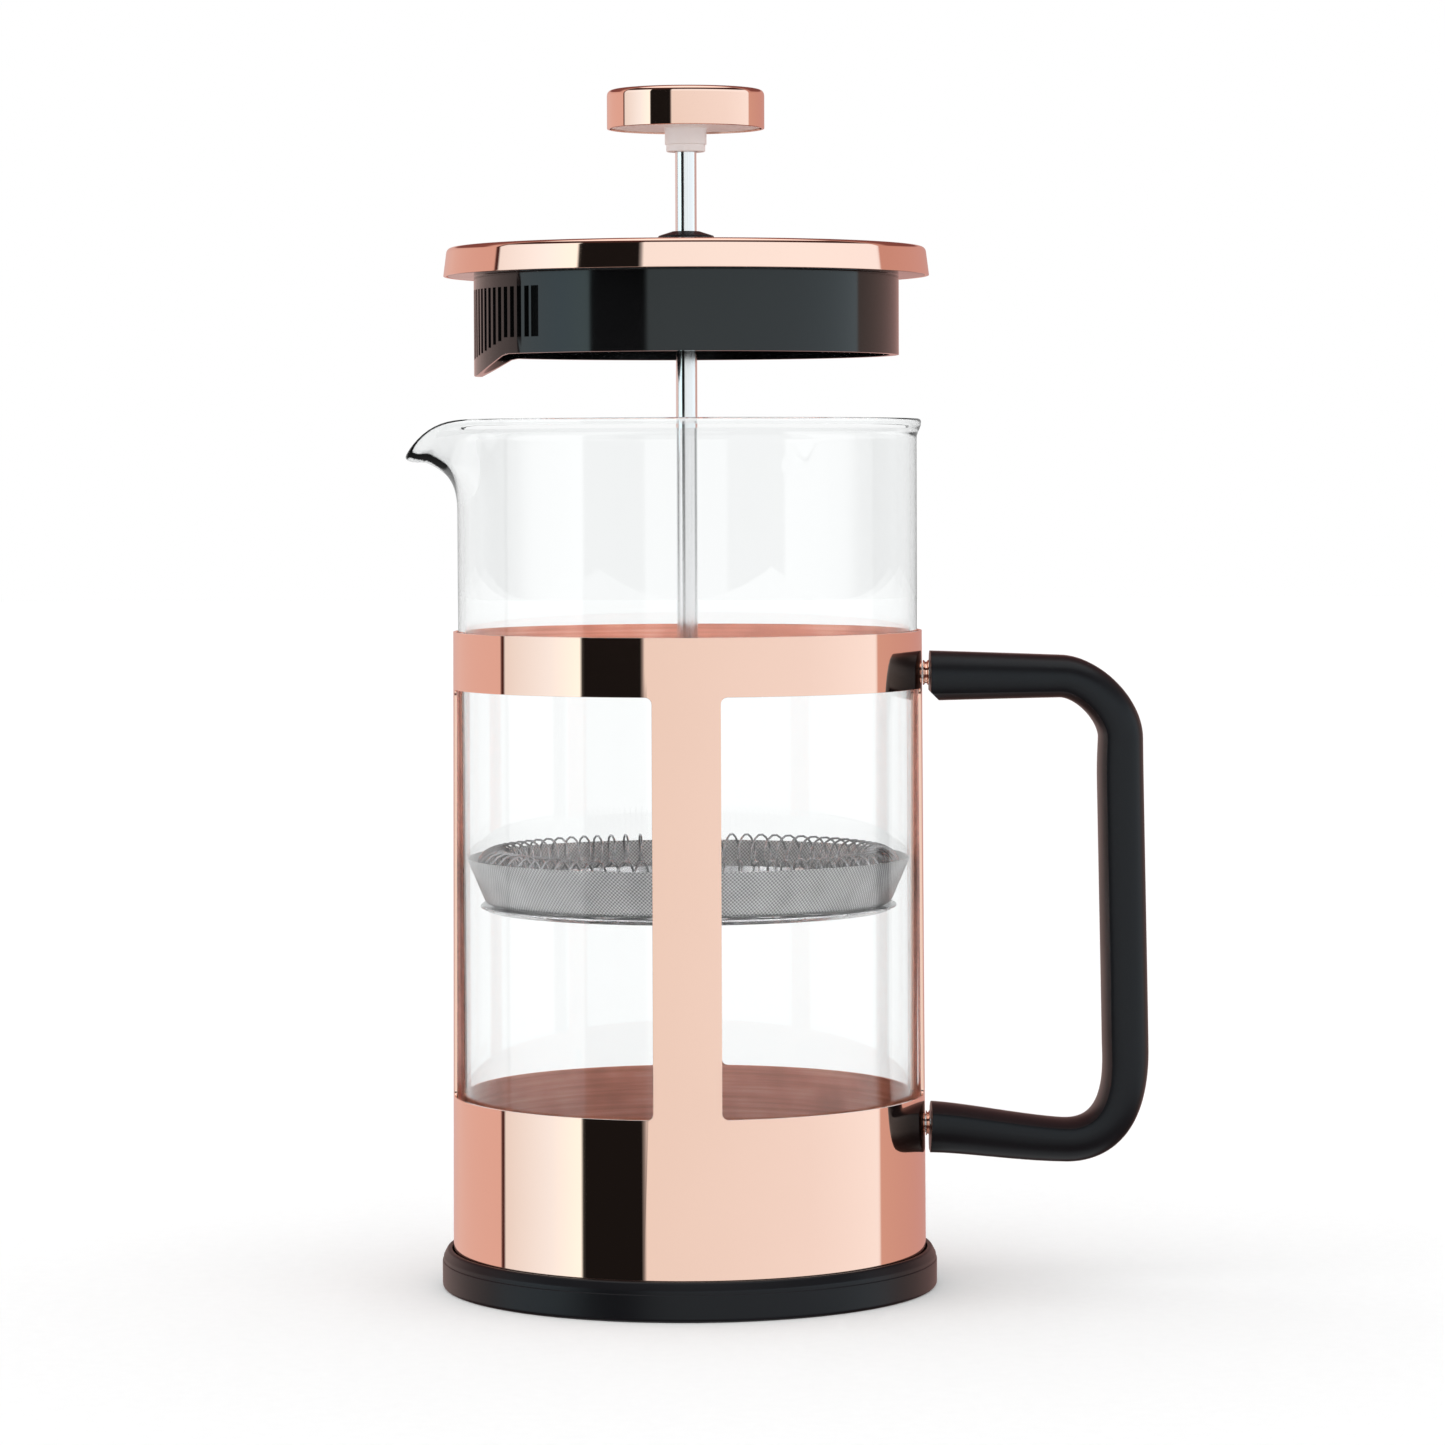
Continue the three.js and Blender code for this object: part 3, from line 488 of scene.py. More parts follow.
def softStudio():
    # tall softboxes and a black flag stand round the pot
    world = bpy.data.worlds.new("softStudio")
    scene.world = world
    world.use_nodes = True
    tree = world.node_tree
    tree.nodes.clear()
    direction = addNode(tree, "ShaderNodeTexCoord").outputs["Generated"]
    split = addNode(tree, "ShaderNodeSeparateXYZ", inputs={0: direction})
    x, y, z = (split.outputs[axis] for axis in "XYZ")
    towards = addNode(tree, "ShaderNodeMath", {"operation": "MULTIPLY"}, {0: y, 1: -1.0})
    bearing = addNode(tree, "ShaderNodeMath", {"operation": "ARCTAN2"}, {0: x, 1: towards.outputs["Value"]})
    turn = addNode(tree, "ShaderNodeMapRange", inputs={
        "Value": bearing.outputs["Value"], "From Min": -math.pi, "From Max": math.pi})

    def at(degrees):
        return (degrees + 180) / 360

    def stripsOf(rose, first, bright, brightEnd, peach, peachMid, peachEnd, dimRose):
        # the cards in turn: warm, a thin dark gap, bright, the black flag, pale peach, warm again
        gap, flag = warmOf(0.05, 0.02, 0.018), greyOf(0.007)
        return setRamp(addNode(tree, "ShaderNodeValToRGB", inputs={"Fac": turn.outputs["Result"]}), [
            (at(-180), warmOf(0.45, 0.283, 0.258)), (at(cards["warmBack"]), rose),
            (at(cards["gapStart"][0]), rose), (at(cards["gapStart"][1]), gap),
            (at(cards["gapEnd"][0]), gap), (at(cards["gapEnd"][1]), first), (at(cards["bright"]), bright),
            (at(cards["flagStart"][0]), brightEnd), (at(cards["flagStart"][1]), flag),
            (at(cards["flagEnd"][0]), flag), (at(cards["flagEnd"][1]), peach),
            (at(cards["peachMid"]), peachMid),
            (at(cards["peachEnd"][0]), peachEnd), (at(cards["peachEnd"][1]), dimRose),
            (at(cards["dimBack"]), warmOf(0.425, 0.25, 0.225)), (at(180), warmOf(0.39, 0.217, 0.196))])

    # the cards as level directions see them, and as directions a little above the horizon do
    level = stripsOf(warmOf(0.535, 0.385, 0.35), warmOf(0.6, 0.665, 0.68), warmOf(0.7, 0.86, 0.93),
                     warmOf(0.82, 1.0, 1.0), warmOf(0.617, 0.645, 0.64), warmOf(0.655, 0.70, 0.72),
                     warmOf(0.71, 0.79, 0.83), warmOf(0.47, 0.315, 0.27))
    raised = stripsOf(warmOf(0.50, 0.335, 0.30), warmOf(0.66, 0.75, 0.79), warmOf(0.75, 0.92, 1.0),
                      warmOf(0.85, 1.0, 1.0), warmOf(0.70, 0.80, 0.84), warmOf(0.73, 0.84, 0.89),
                      warmOf(0.72, 0.82, 0.88), warmOf(0.42, 0.255, 0.22))
    # the depth is 0 towards the camera and 1 away from it
    depth = addNode(tree, "ShaderNodeMapRange", inputs={
        "Value": y, "From Min": -1.0, "From Max": 1.0}).outputs["Result"]
    ceiling = setRamp(addNode(tree, "ShaderNodeValToRGB", inputs={"Fac": depth}), [
        (0.0, greyOf(0.85)), (0.58, greyOf(0.85)), (0.64, warmOf(0.5, 0.333, 0.3)),
        (0.72, warmOf(0.167, 0.067, 0.058)), (1.0, warmOf(0.133, 0.05, 0.046))])

    def fade(value, ends):
        return addNode(tree, "ShaderNodeMapRange", {"interpolation_type": "SMOOTHSTEP"}, {
            "Value": value, "From Min": fades[ends][0], "From Max": fades[ends][1]}).outputs["Result"]

    def blended(share, first, second):
        return addNode(tree, "ShaderNodeMix", {"data_type": "RGBA"}, {
            "Factor": share, 6: first, 7: second}).outputs[2]

    behind = addNode(tree, "ShaderNodeMath", {"operation": "MULTIPLY"}, {
        0: fade(z, "backZ"), 1: fade(y, "backY")})
    above = addNode(tree, "ShaderNodeMath", {"operation": "MAXIMUM"}, {
        0: fade(z, "ceilingZ"), 1: behind.outputs[0]})
    strips = blended(fade(z, "raisedZ"), level, raised)
    # a dark band over the strips, towards the camera, draws the edges of the rims and the cap
    edgeBand = addNode(tree, "ShaderNodeMath", {"operation": "MULTIPLY"}, {
        0: fade(z, "edgeFromZ"), 1: fade(z, "edgeToZ")})
    edgeFlag = addNode(tree, "ShaderNodeMath", {"operation": "MULTIPLY"}, {
        0: edgeBand.outputs[0], 1: fade(y, "edgeY")})
    withCeiling = blended(
        edgeFlag.outputs[0], blended(above.outputs[0], strips, ceiling), warmOf(0.04, 0.016, 0.013))
    dimFloor = blended(fade(z, "dimFloorZ"), withCeiling, warmOf(0.10, 0.055, 0.048))
    withFloor = blended(fade(z, "floorZ"), dimFloor, greyOf(0.6))
    rays = addNode(tree, "ShaderNodeLightPath")
    # glass has no warm cards round it, so its own sharp reflections are left neutral
    plain = addNode(tree, "ShaderNodeRGBToBW", inputs={0: withFloor}).outputs[0]
    reflected = blended(rays.outputs["Is Singular Ray"], withFloor, plain)
    shiny = addNode(tree, "ShaderNodeBackground", inputs={
        "Color": reflected, "Strength": studio["metalLight"]})

    # what is seen through the glass is white straight behind and greyer to the sides
    through = setRamp(addNode(tree, "ShaderNodeValToRGB", inputs={"Fac": depth}), [
        (0.0, greyOf(1.0)), (0.50, greyOf(0.85)), (0.60, greyOf(0.22)), (0.75, greyOf(0.32)),
        (0.88, greyOf(0.93)), (0.97, greyOf(1.0))])
    # light that falls through the glass is made stronger from the camera's side, for the bounces a render
    # leaves out
    landed = addNode(tree, "ShaderNodeMath", {"operation": "MINIMUM"}, {
        0: rays.outputs["Diffuse Depth"], 1: 1.0})
    fromFront = addNode(tree, "ShaderNodeMath", {"operation": "MULTIPLY"}, {
        0: landed.outputs[0], 1: fade(y, "gainY")})
    gain = addNode(tree, "ShaderNodeMath", {"operation": "MULTIPLY_ADD"}, {
        0: fromFront.outputs[0], 1: studio["gainThroughGlass"], 2: 1.0})
    mirrored = addNode(tree, "ShaderNodeMath", {"operation": "SUBTRACT", "use_clamp": True}, {
        0: fade(y, "mirroredY"), 1: landed.outputs[0]})
    inside = addNode(tree, "ShaderNodeMath", {"operation": "MULTIPLY"}, {
        0: addNode(tree, "ShaderNodeRGBToBW", inputs={0: strips}).outputs[0], 1: studio["mirroredInGlass"]})
    inGlass = blended(mirrored.outputs[0], through, inside.outputs[0])
    clear = addNode(tree, "ShaderNodeBackground", inputs={"Color": inGlass, "Strength": gain.outputs[0]})
    soft = addNode(tree, "ShaderNodeBackground", inputs={
        "Color": greyOf(1.0), "Strength": studio["softLight"]})
    white = addNode(tree, "ShaderNodeBackground", inputs={"Color": greyOf(1.0), "Strength": 1.0})
    mixed = addNode(tree, "ShaderNodeMixShader", inputs={
        0: rays.outputs["Is Glossy Ray"], 1: soft.outputs[0], 2: shiny.outputs[0]})
    mixed = addNode(tree, "ShaderNodeMixShader", inputs={
        0: rays.outputs["Is Transmission Ray"], 1: mixed.outputs[0], 2: clear.outputs[0]})
    mixed = addNode(tree, "ShaderNodeMixShader", inputs={
        0: rays.outputs["Is Camera Ray"], 1: mixed.outputs[0], 2: white.outputs[0]})
    addNode(tree, "ShaderNodeOutputWorld", inputs={"Surface": mixed.outputs[0]})


def paleFloor():
    # matt white sweep: pale paint that keeps the pot's soft contact shadow
    clearSelection()
    bpy.ops.mesh.primitive_plane_add(size=12, location=(0, 0, 0))
    floor = bpy.context.object
    floor.name = floor.data.name = "studioFloor"
    floor.visible_glossy = False
    material, tree, place = newMaterial("mattWhitePaint")
    roll = addNode(tree, "ShaderNodeTexNoise", inputs={"Vector": place, "Scale": 300, "Detail": 2})
    tone = addNode(tree, "ShaderNodeMix", {"data_type": "RGBA"}, {
        "Factor": roll.outputs["Fac"], 6: linear("#e9e9e9"), 7: linear("#ededed")})
    paint = addNode(tree, "ShaderNodeBsdfDiffuse", inputs={"Color": tone.outputs[2]})
    glow = addNode(tree, "ShaderNodeEmission", inputs={"Color": greyOf(1.0), "Strength": studio["floorGlow"]})
    rays = addNode(tree, "ShaderNodeLightPath")
    seen = addNode(tree, "ShaderNodeMath", {"operation": "MAXIMUM"}, {
        0: rays.outputs["Is Camera Ray"], 1: rays.outputs["Is Transmission Ray"]})
    none = addNode(tree, "ShaderNodeEmission", inputs={"Strength": 0.0})
    lift = addNode(tree, "ShaderNodeMixShader", inputs={
        0: seen.outputs["Value"], 1: none.outputs[0], 2: glow.outputs[0]})
    surfaceOut(tree, addNode(tree, "ShaderNodeAddShader", inputs={0: paint.outputs[0], 1: lift.outputs[0]}))
    floor.data.materials.append(material)


softStudio()
paleFloor()
print("studio and camera set")

# coaster

coaster = {"footWidth": 6, "recess": 1, "padRadius": 15, "seam": 5.75, "seamDepth": 0.22, "seamStep": 0.12,
           "shoulder": 0.9, "lip": 0.95, "clearance": 0.3}
low, high = boxOf("base_coaster")
outside, top = high.x, high.z
inside = boxOf("frame_shell")[1].x + coaster["clearance"]
seat = boxOf("frame_shell")[0].z - coaster["clearance"]
footIn, recess, seam = outside - coaster["footWidth"], coaster["recess"], coaster["seam"]
padR, shoulder = coaster["padRadius"], outside - coaster["seamDepth"]
piece = spunPiece("coaster", rounded([
    (0, 0, 0), (padR, 0, 0.3), (padR + recess, recess, 0.3), (footIn - recess, recess, 0.3), (footIn, 0, 0.3),
    (outside, 0, 0.9), (outside, seam, 0.2), (shoulder, seam + coaster["seamStep"], 0.05),
    (shoulder, seam + coaster["shoulder"], 0.9), (inside + coaster["lip"], top, 0.7),
    (inside, top, 0.25), (inside, seat, 0.1), (0, seat, 0)]), steps=192)
finishPiece(piece, "base_coaster", satinBlack)

# frame: a rolled sheet with four windows, polished outside and brushed inside

sheetFrame = {"sheet": 0.6, "taper": 0.7, "bandTop": 12.4, "bandFoot": 36, "strap": 14.4, "fillet": 1.4,
              "edge": 0.1, "screwHole": 2.35, "steps": 240}
low, high = boxOf("frame_shell")
footR, headR = high.x, high.x - sheetFrame["taper"]
sheet = sheetFrame["sheet"]
frameShell = spunPiece("copperFrame", [
    (footR - sheet, low.z), (footR, low.z), (headR, high.z), (headR - sheet, high.z)],
    steps=sheetFrame["steps"], closed=True)
half, far = sheetFrame["strap"] / 2, footR * 1.3
windowLow, windowHigh = low.z + sheetFrame["bandFoot"], high.z - sheetFrame["bandTop"]


def windowEdge(middle, along):
    # the four edges where a window's upright sides meet its sill and head
    level = abs(along.z) < 0.1
    return level and (abs(middle.x - half) < 0.01 or abs(middle.y - half) < 0.01)


window = boxPiece((half, half, windowLow), (far, far, windowHigh), windowEdge, sheetFrame["fillet"], 6)
cutAway(frameShell, joined([window] + [copyOf(window, math.radians(90 * k)) for k in (1, 2, 3)]))
screwLines = [sum(corner.z for corner in boxOf("handle_screw_" + side)) / 2 for side in ("upper", "lower")]
for height in screwLines:
    clearSelection()
    bpy.ops.mesh.primitive_cylinder_add(vertices=40, radius=sheetFrame["screwHole"] * mm, depth=0.02)
    cutAway(frameShell, layAlongX(bpy.context.object, height, footR))
softenEdges(frameShell, sheetFrame["edge"], 2, 50)
frameShell.data.materials.append(copper)
frameShell.data.materials.append(brushedCopper)
for face in frameShell.data.polygons:
    outward = Vector((face.center.x, face.center.y, 0)).normalized()
    face.material_index = 1 if face.normal.dot(outward) < -0.7 else 0
finishPiece(frameShell, "frame_shell", copper, smooth=30)

# handle: a D section drawn along a bent path, crowned on the finger side

grip = {"depth": 9.2, "gripDepth": 9.95, "width": 15.6, "rootDepth": 10.8, "crown": 1.5, "edgeWidth": 14.8,
        "lean": 1.2, "upperFall": 1.0, "lowerFall": 2.1, "corner": 18, "heelEase": 6, "chamfer": 2.0,
        "edge": 0.3, "rootPull": 5, "armPull": 8, "cornerPull": 9, "headPull": 15, "heelPull": 14,
        "deepFrom": 4, "deepTo": 22}


def gripSection():
    # drawn flat: x runs from the finger side outwards, y across the hand
    depth, wide, crisp, crown = grip["depth"], grip["width"] / 2, grip["edgeWidth"] / 2, grip["crown"]
    clearSelection()
    bpy.ops.curve.primitive_bezier_circle_add(radius=1)
    section = bpy.context.object
    spline = section.data.splines[0]
    spline.bezier_points.add(2)
    middle = depth / 2
    shape = [  # place, handle before, handle after
        ((crown, -crisp), (-crown / 3, -crisp * 0.6), (crown * 1.3, -wide * 0.985)),
        ((depth * 0.42, -wide), (depth * 0.34, -wide), (depth * 0.74, -wide)),
        ((depth, -wide * 0.3), (depth, -wide * 0.8), (depth, -wide * 0.1)),
        ((depth, wide * 0.3), (depth, wide * 0.1), (depth, wide * 0.8)),
        ((depth * 0.42, wide), (depth * 0.74, wide), (depth * 0.34, wide)),
        ((crown, crisp), (crown * 1.3, wide * 0.985), (-crown / 3, crisp * 0.6)),
    ]
    for point, (place, before, after) in zip(spline.bezier_points, shape):
        point.handle_left_type = point.handle_right_type = "FREE"
        point.co = (place[1] * mm, (place[0] - middle) * mm, 0)
        point.handle_left = (before[1] * mm, (before[0] - middle) * mm, 0)
        point.handle_right = (after[1] * mm, (after[0] - middle) * mm, 0)
    section.data.resolution_u = 9
    section.data.dimensions = "2D"
    return section


def bentPath(points):
    clearSelection()
    bpy.ops.curve.primitive_bezier_curve_add()
    path = bpy.context.object
    spline = path.data.splines[0]
    spline.bezier_points.add(len(points) - 2)
    for point, (place, before, after) in zip(spline.bezier_points, points):
        point.handle_left_type = point.handle_right_type = "FREE"
        point.co = (place[0] * mm, 0, place[1] * mm)
        point.handle_left = (before[0] * mm, 0, before[1] * mm)
        point.handle_right = (after[0] * mm, 0, after[1] * mm)
    path.data.dimensions = "3D"
    path.data.resolution_u = 28
    return path


low, high = boxOf("handle_grip")
rootX, footOut, headOut = low.x, high.x, high.x - grip["lean"]
halfDepth, halfRoot = grip["depth"] / 2, grip["rootDepth"] / 2
rootTop, rootLow = high.z - halfRoot, low.z + grip["lowerFall"] + halfRoot
armTop, armLow = high.z - grip["upperFall"] - halfDepth, low.z + halfDepth
headX, footX = headOut - halfDepth, footOut - halfDepth
bend = (grip["corner"] - halfDepth) * 0.56  # handle length that makes a bezier corner nearly round
headZ, heelZ = high.z - grip["upperFall"] - grip["corner"], low.z + grip["corner"] + grip["heelEase"]
topX, lowX = headOut - grip["corner"], footOut - grip["corner"]  # where the arms begin to bend
rootPull, armPull, cornerPull = grip["rootPull"], grip["armPull"], grip["cornerPull"]
handleGrip = bentPath([
    ((rootX, rootTop), (rootX - rootPull, rootTop), (rootX + armPull, rootTop - 0.05)),
    ((topX, armTop), (topX - cornerPull, armTop + 0.1), (topX + bend * 0.8, armTop)),
    ((headX, headZ), (headX, headZ + bend * 0.8), (headX + 0.2, headZ - grip["headPull"])),
    ((footX, heelZ), (footX - 0.2, heelZ + grip["headPull"]), (footX, heelZ - grip["heelPull"])),
    ((lowX, armLow), (lowX + bend * 1.05, armLow - 0.1), (lowX - cornerPull, armLow + 0.3)),
    ((rootX, rootLow), (rootX + armPull, rootLow - 0.35), (rootX - rootPull, rootLow)),
])
section = gripSection()
handleGrip.data.bevel_mode = "OBJECT"
handleGrip.data.bevel_object = section
handleGrip.data.use_fill_caps = True
handleGrip.data.twist_mode = "MINIMUM"
pick(handleGrip)
bpy.ops.object.convert(target="MESH")
handleGrip = bpy.context.object
handleGrip.name = handleGrip.data.name = "handleGrip"
bpy.data.objects.remove(section)
# the arms deepen towards their roots, the grip deepens on the finger side
for vertex in handleGrip.data.vertices:
    x, z = vertex.co.x / mm, vertex.co.z / mm
    fromFoot = smoothShare(z, armLow + grip["deepFrom"], armLow + grip["deepTo"])
    upright = fromFoot * (1 - smoothShare(z, armTop - grip["deepTo"], armTop - grip["deepFrom"]))
    if upright > 0 and x > topX:
        face = footOut + (headOut - footOut) * (z - armLow) / (armTop - armLow)
        vertex.co.x = (face - (face - x) * (1 + upright * (grip["gripDepth"] / grip["depth"] - 1))) * mm
    if x < topX:
        share = (topX - x) / (topX - rootX)
        upper = z > (rootTop + rootLow) / 2
        rootZ, armZ = (rootTop, armTop) if upper else (rootLow, armLow)
        line = rootZ + (armZ - rootZ) * (1 - share)
        vertex.co.z = (line + (z - line) * (1 + share * (halfRoot / halfDepth - 1))) * mm
pick(handleGrip)
bpy.ops.object.mode_set(mode="EDIT")
bpy.ops.mesh.select_all(action="SELECT")
bpy.ops.mesh.remove_doubles(threshold=2e-6)
bpy.ops.mesh.select_all(action="SELECT")
bpy.ops.mesh.normals_make_consistent(inside=False)
bpy.ops.object.mode_set(mode="OBJECT")
chamferCut = boxPiece((-6, -12, -6), (0, 12, 6))
chamferCut.rotation_euler.y = math.radians(-45)
chamferCut.location = ((rootX + grip["chamfer"] / 2) * mm, 0, (rootTop - halfRoot + grip["chamfer"] / 2) * mm)
pick(chamferCut)
bpy.ops.object.transform_apply(location=True, rotation=True)
cutAway(handleGrip, chamferCut)
softenEdges(handleGrip, grip["edge"], 3, 35)
bpy.ops.object.mode_set(mode="EDIT")  # closes the slit that the bevel leaves at the root's top edge
bpy.ops.mesh.select_all(action="SELECT")
bpy.ops.mesh.fill_holes(sides=0)
bpy.ops.mesh.select_all(action="SELECT")
bpy.ops.mesh.dissolve_degenerate(threshold=2e-6)
bpy.ops.object.mode_set(mode="OBJECT")
finishPiece(handleGrip, "handle_grip", satinBlack, smooth=40)

# spacers and screws between the frame and the handle's roots

spacer = {"bore": 2.1, "wall": 0.5, "waist": 0.35, "rimShare": 0.2, "neckShare": 1.8, "screwGap": 0.3}
screw = {"head": 2.05, "headHeight": 0.75, "dome": 0.3, "flatShare": 0.7, "shank": 1.2, "point": 1.2,
         "pointShare": 0.3, "slot": 0.55, "slotLength": 2.4, "slotDepth": 0.4}
for height, side in zip(screwLines, ("upper", "lower")):
    low, high = boxOf("handle_spacer_" + side)
    rim, rimR = (high.x - low.x) * spacer["rimShare"], high.z - height
    neck, neckR = rim * spacer["neckShare"], rimR - spacer["waist"]
    holeR, floorX = screw["shank"] + spacer["screwGap"], high.x - spacer["wall"]
    piece = spunPiece("spacer." + side, rounded([
        (spacer["bore"], low.x, 0), (rimR, low.x, 0.1), (rimR, low.x + rim, 0.1), (neckR, low.x + neck, 0.1),
        (neckR, high.x - neck, 0.1), (rimR, high.x - rim, 0.1), (rimR, high.x, 0.1), (holeR, high.x, 0.05),
        (holeR, floorX, 0.05), (spacer["bore"], floorX, 0)]), steps=56, closed=True)
    finishPiece(layAlongX(piece, height), "handle_spacer_" + side, copper)
    low, high = boxOf("handle_screw_" + side)
    seatX = low.x + screw["headHeight"]
    piece = spunPiece("screw." + side, rounded([
        (0, low.x, 0), (screw["head"] * screw["flatShare"], low.x, 0.4),
        (screw["head"], low.x + screw["dome"], 0.15), (screw["head"], seatX, 0.05),
        (screw["shank"], seatX, 0.1), (screw["shank"], high.x - screw["point"], 0.3),
        (screw["shank"] * screw["pointShare"], high.x, 0.1), (0, high.x, 0)]), steps=40)
    layAlongX(piece, height)
    for across, tall in ((screw["slotLength"], screw["slot"]), (screw["slot"], screw["slotLength"])):
        cutAway(piece, boxPiece((low.x - 1, -across / 2, height - tall / 2),
                                (low.x + screw["slotDepth"], across / 2, height + tall / 2)))
    finishPiece(piece, "handle_screw_" + side, pressedSteel)

# beaker: turned wall with a beaded rim, then the spout is drawn out of it

beaker = {"wall": 1.3, "corner": 7, "flare": 0.95, "flareHeight": 4, "spoutReach": 11.1, "spoutDrop": 7.6,
          "spoutDepth": 20, "spoutHalf": 31, "spoutSink": 2.6, "steps": 192, "rows": 26}
low, high = boxOf("glass_beaker")
outerR, wall = high.y - beaker["flare"], beaker["wall"]
innerR, floorZ, rimZ = outerR - wall, low.z + wall, high.z


def flareAt(z):
    return beaker["flare"] * smoothShare(z, rimZ - beaker["flareHeight"], rimZ - 1)


def arcPoints(centreR, centreZ, radius, start, end, steps):
    angles = [math.radians(start + (end - start) * k / steps) for k in range(steps + 1)]
    return [(centreR + radius * math.cos(a), centreZ + radius * math.sin(a)) for a in angles]


spoutFoot = rimZ - beaker["spoutDepth"]
beadZ = rimZ - wall / 2
levels = [spoutFoot + (beadZ - spoutFoot) * k / beaker["rows"] for k in range(beaker["rows"] + 1)]
corner, innerCorner = beaker["corner"], beaker["corner"] - wall
glassPiece = spunPiece("glassBeaker", [
    (0, low.z),
    *arcPoints(outerR - corner, low.z + corner, corner, -90, 0, 8),
    *[(outerR + flareAt(z), z) for z in levels],
    *arcPoints(outerR + flareAt(rimZ) - wall / 2, beadZ, wall / 2, 0, 180, 8)[1:-1],
    *[(innerR + flareAt(z), z) for z in reversed(levels)],
    *arcPoints(innerR - innerCorner, floorZ + innerCorner, innerCorner, 0, -90, 8),
    (0, floorZ)], steps=beaker["steps"])


def spoutCurve(t):
    # the spout's middle line from the wall up and out to its tip, and the way it runs
    reach, drop = beaker["spoutReach"], beaker["spoutDrop"]
    stops = [Vector((outerR, spoutFoot)), Vector((outerR, spoutFoot + beaker["spoutDepth"] * 0.35)),
             Vector((outerR + reach * 0.18, rimZ - drop - 2.8)), Vector((outerR + reach, rimZ - drop))]
    s = 1 - t
    place = stops[0] * s ** 3 + stops[1] * 3 * s * s * t + stops[2] * 3 * s * t * t + stops[3] * t ** 3
    way = (stops[1] - stops[0]) * s * s + (stops[2] - stops[1]) * 2 * s * t + (stops[3] - stops[2]) * t * t
    return place, way.normalized()


for vertex in glassPiece.data.vertices:
    x, y, z = vertex.co / mm
    if z <= spoutFoot:
        continue
    away = math.degrees(abs(math.atan2(y, -x)))
    pull = 1 - smoothShare(away, 0, beaker["spoutHalf"])
    if pull == 0:
        continue
    radius, angle = math.hypot(x, y), math.atan2(y, x)
    place, way = spoutCurve((z - spoutFoot) / beaker["spoutDepth"])
    inward = outerR - radius
    newR = radius + (place.x - way.y * inward - radius) * pull
    newZ = z + (place.y + way.x * inward - z) * pull ** beaker["spoutSink"]
    vertex.co = (newR * math.cos(angle) * mm, newR * math.sin(angle) * mm, newZ * mm)
finishPiece(glassPiece, "glass_beaker", clearGlass, smooth=60)

# lid cover: a spun copper-plated cap

cover = {"bore": 4.5, "taper": 0.8, "shoulder": 1.3, "sheet": 0.6, "crown": 1.1, "crownShare": 0.25,
         "sweep": 30, "edge": 0.15}
low, high = boxOf("lid_cover")
bushLow, bushHigh = boxOf("guide_bush")
bore = cover["bore"]
coverR, coverLow, crownZ = high.x, low.z, high.z
coverTop, sheet = crownZ - cover["crown"], cover["sheet"]
topR = coverR - cover["taper"]
crownMid, sweep = crownZ - cover["crown"] * cover["crownShare"], cover["sweep"]
piece = spunPiece("lidCover", rounded([
    (bore, crownZ - sheet, 0.1), (coverR * 0.5, crownMid - sheet, sweep),
    (topR - sheet, coverTop - sheet, cover["shoulder"] - 0.5), (coverR - sheet, coverLow, 0.05),
    (coverR, coverLow, cover["edge"]), (topR, coverTop, cover["shoulder"]),
    (coverR * 0.5, crownMid, sweep), (bore, crownZ, 0.1)], steps=7), steps=240, closed=True)
finishPiece(piece, "lid_cover", copper, smooth=30)

# lid body: glossy skirt with a ribbed pouring side that runs down into a tongue

lid = {"skirtRadius": 45.95, "wall": 2, "disc": 2.4, "skirt": 17.1, "tongueRun": 7.9, "slots": 31,
       "pitch": 3.1, "slotWidth": 1.45, "lastSlot": 1.5, "slotDepth": 1.3, "border": 3.4, "slotTop": 3.0,
       "edge": 0.12, "gap": 0.3}
low, high = boxOf("lid_body")
skirtR = lid["skirtRadius"]
inset = sheet + lid["gap"]
discTop = coverTop - inset
discLow, skirtIn, flangeZ = discTop - lid["disc"], skirtR - lid["wall"], coverLow
skirtLow, tongueLow = flangeZ - lid["skirt"], low.z
lidBody = spunPiece("lidBody", rounded([
    (bore, discLow, 0), (skirtIn, discLow, 0.8), (skirtIn, tongueLow, 0.3), (skirtR, tongueLow, 0.3),
    (skirtR, flangeZ, 0.25), (coverR - inset, flangeZ, 0.2), (topR - inset, discTop, 0.5),
    (bore, discTop, 0)]), steps=192, closed=True)


def tongueEdge(x):
    # height of the skirt's lower edge at a place across the pot
    along = (x + skirtR) / lid["tongueRun"]
    return tongueLow + (skirtLow - tongueLow) * min(1, max(0, along))


# the wedge under the skirt that leaves the tongue: it reaches well past the lid on the other sides
beyond, under = 80, tongueLow - 9
tongueEnd = -skirtR + lid["tongueRun"]
wedge = drawnOutline([
    (-skirtR, tongueLow), (-skirtR + 1.2, tongueLow + 0.15), (tongueEnd - 0.8, skirtLow - 0.35),
    (tongueEnd + 0.6, skirtLow), (beyond, skirtLow), (beyond, under), (-beyond, under),
    (-beyond, tongueLow - 0.01)], across=-beyond)
bpy.ops.mesh.select_all(action="SELECT")
bpy.ops.mesh.edge_face_add()
bpy.ops.mesh.extrude_region_move(TRANSFORM_OT_translate={"value": (0, 2 * beyond * mm, 0)})
bpy.ops.mesh.select_all(action="SELECT")
bpy.ops.mesh.normals_make_consistent(inside=False)
bpy.ops.object.mode_set(mode="OBJECT")
cutAway(lidBody, wedge)
slotTop = flangeZ - lid["slotTop"]
slots = []
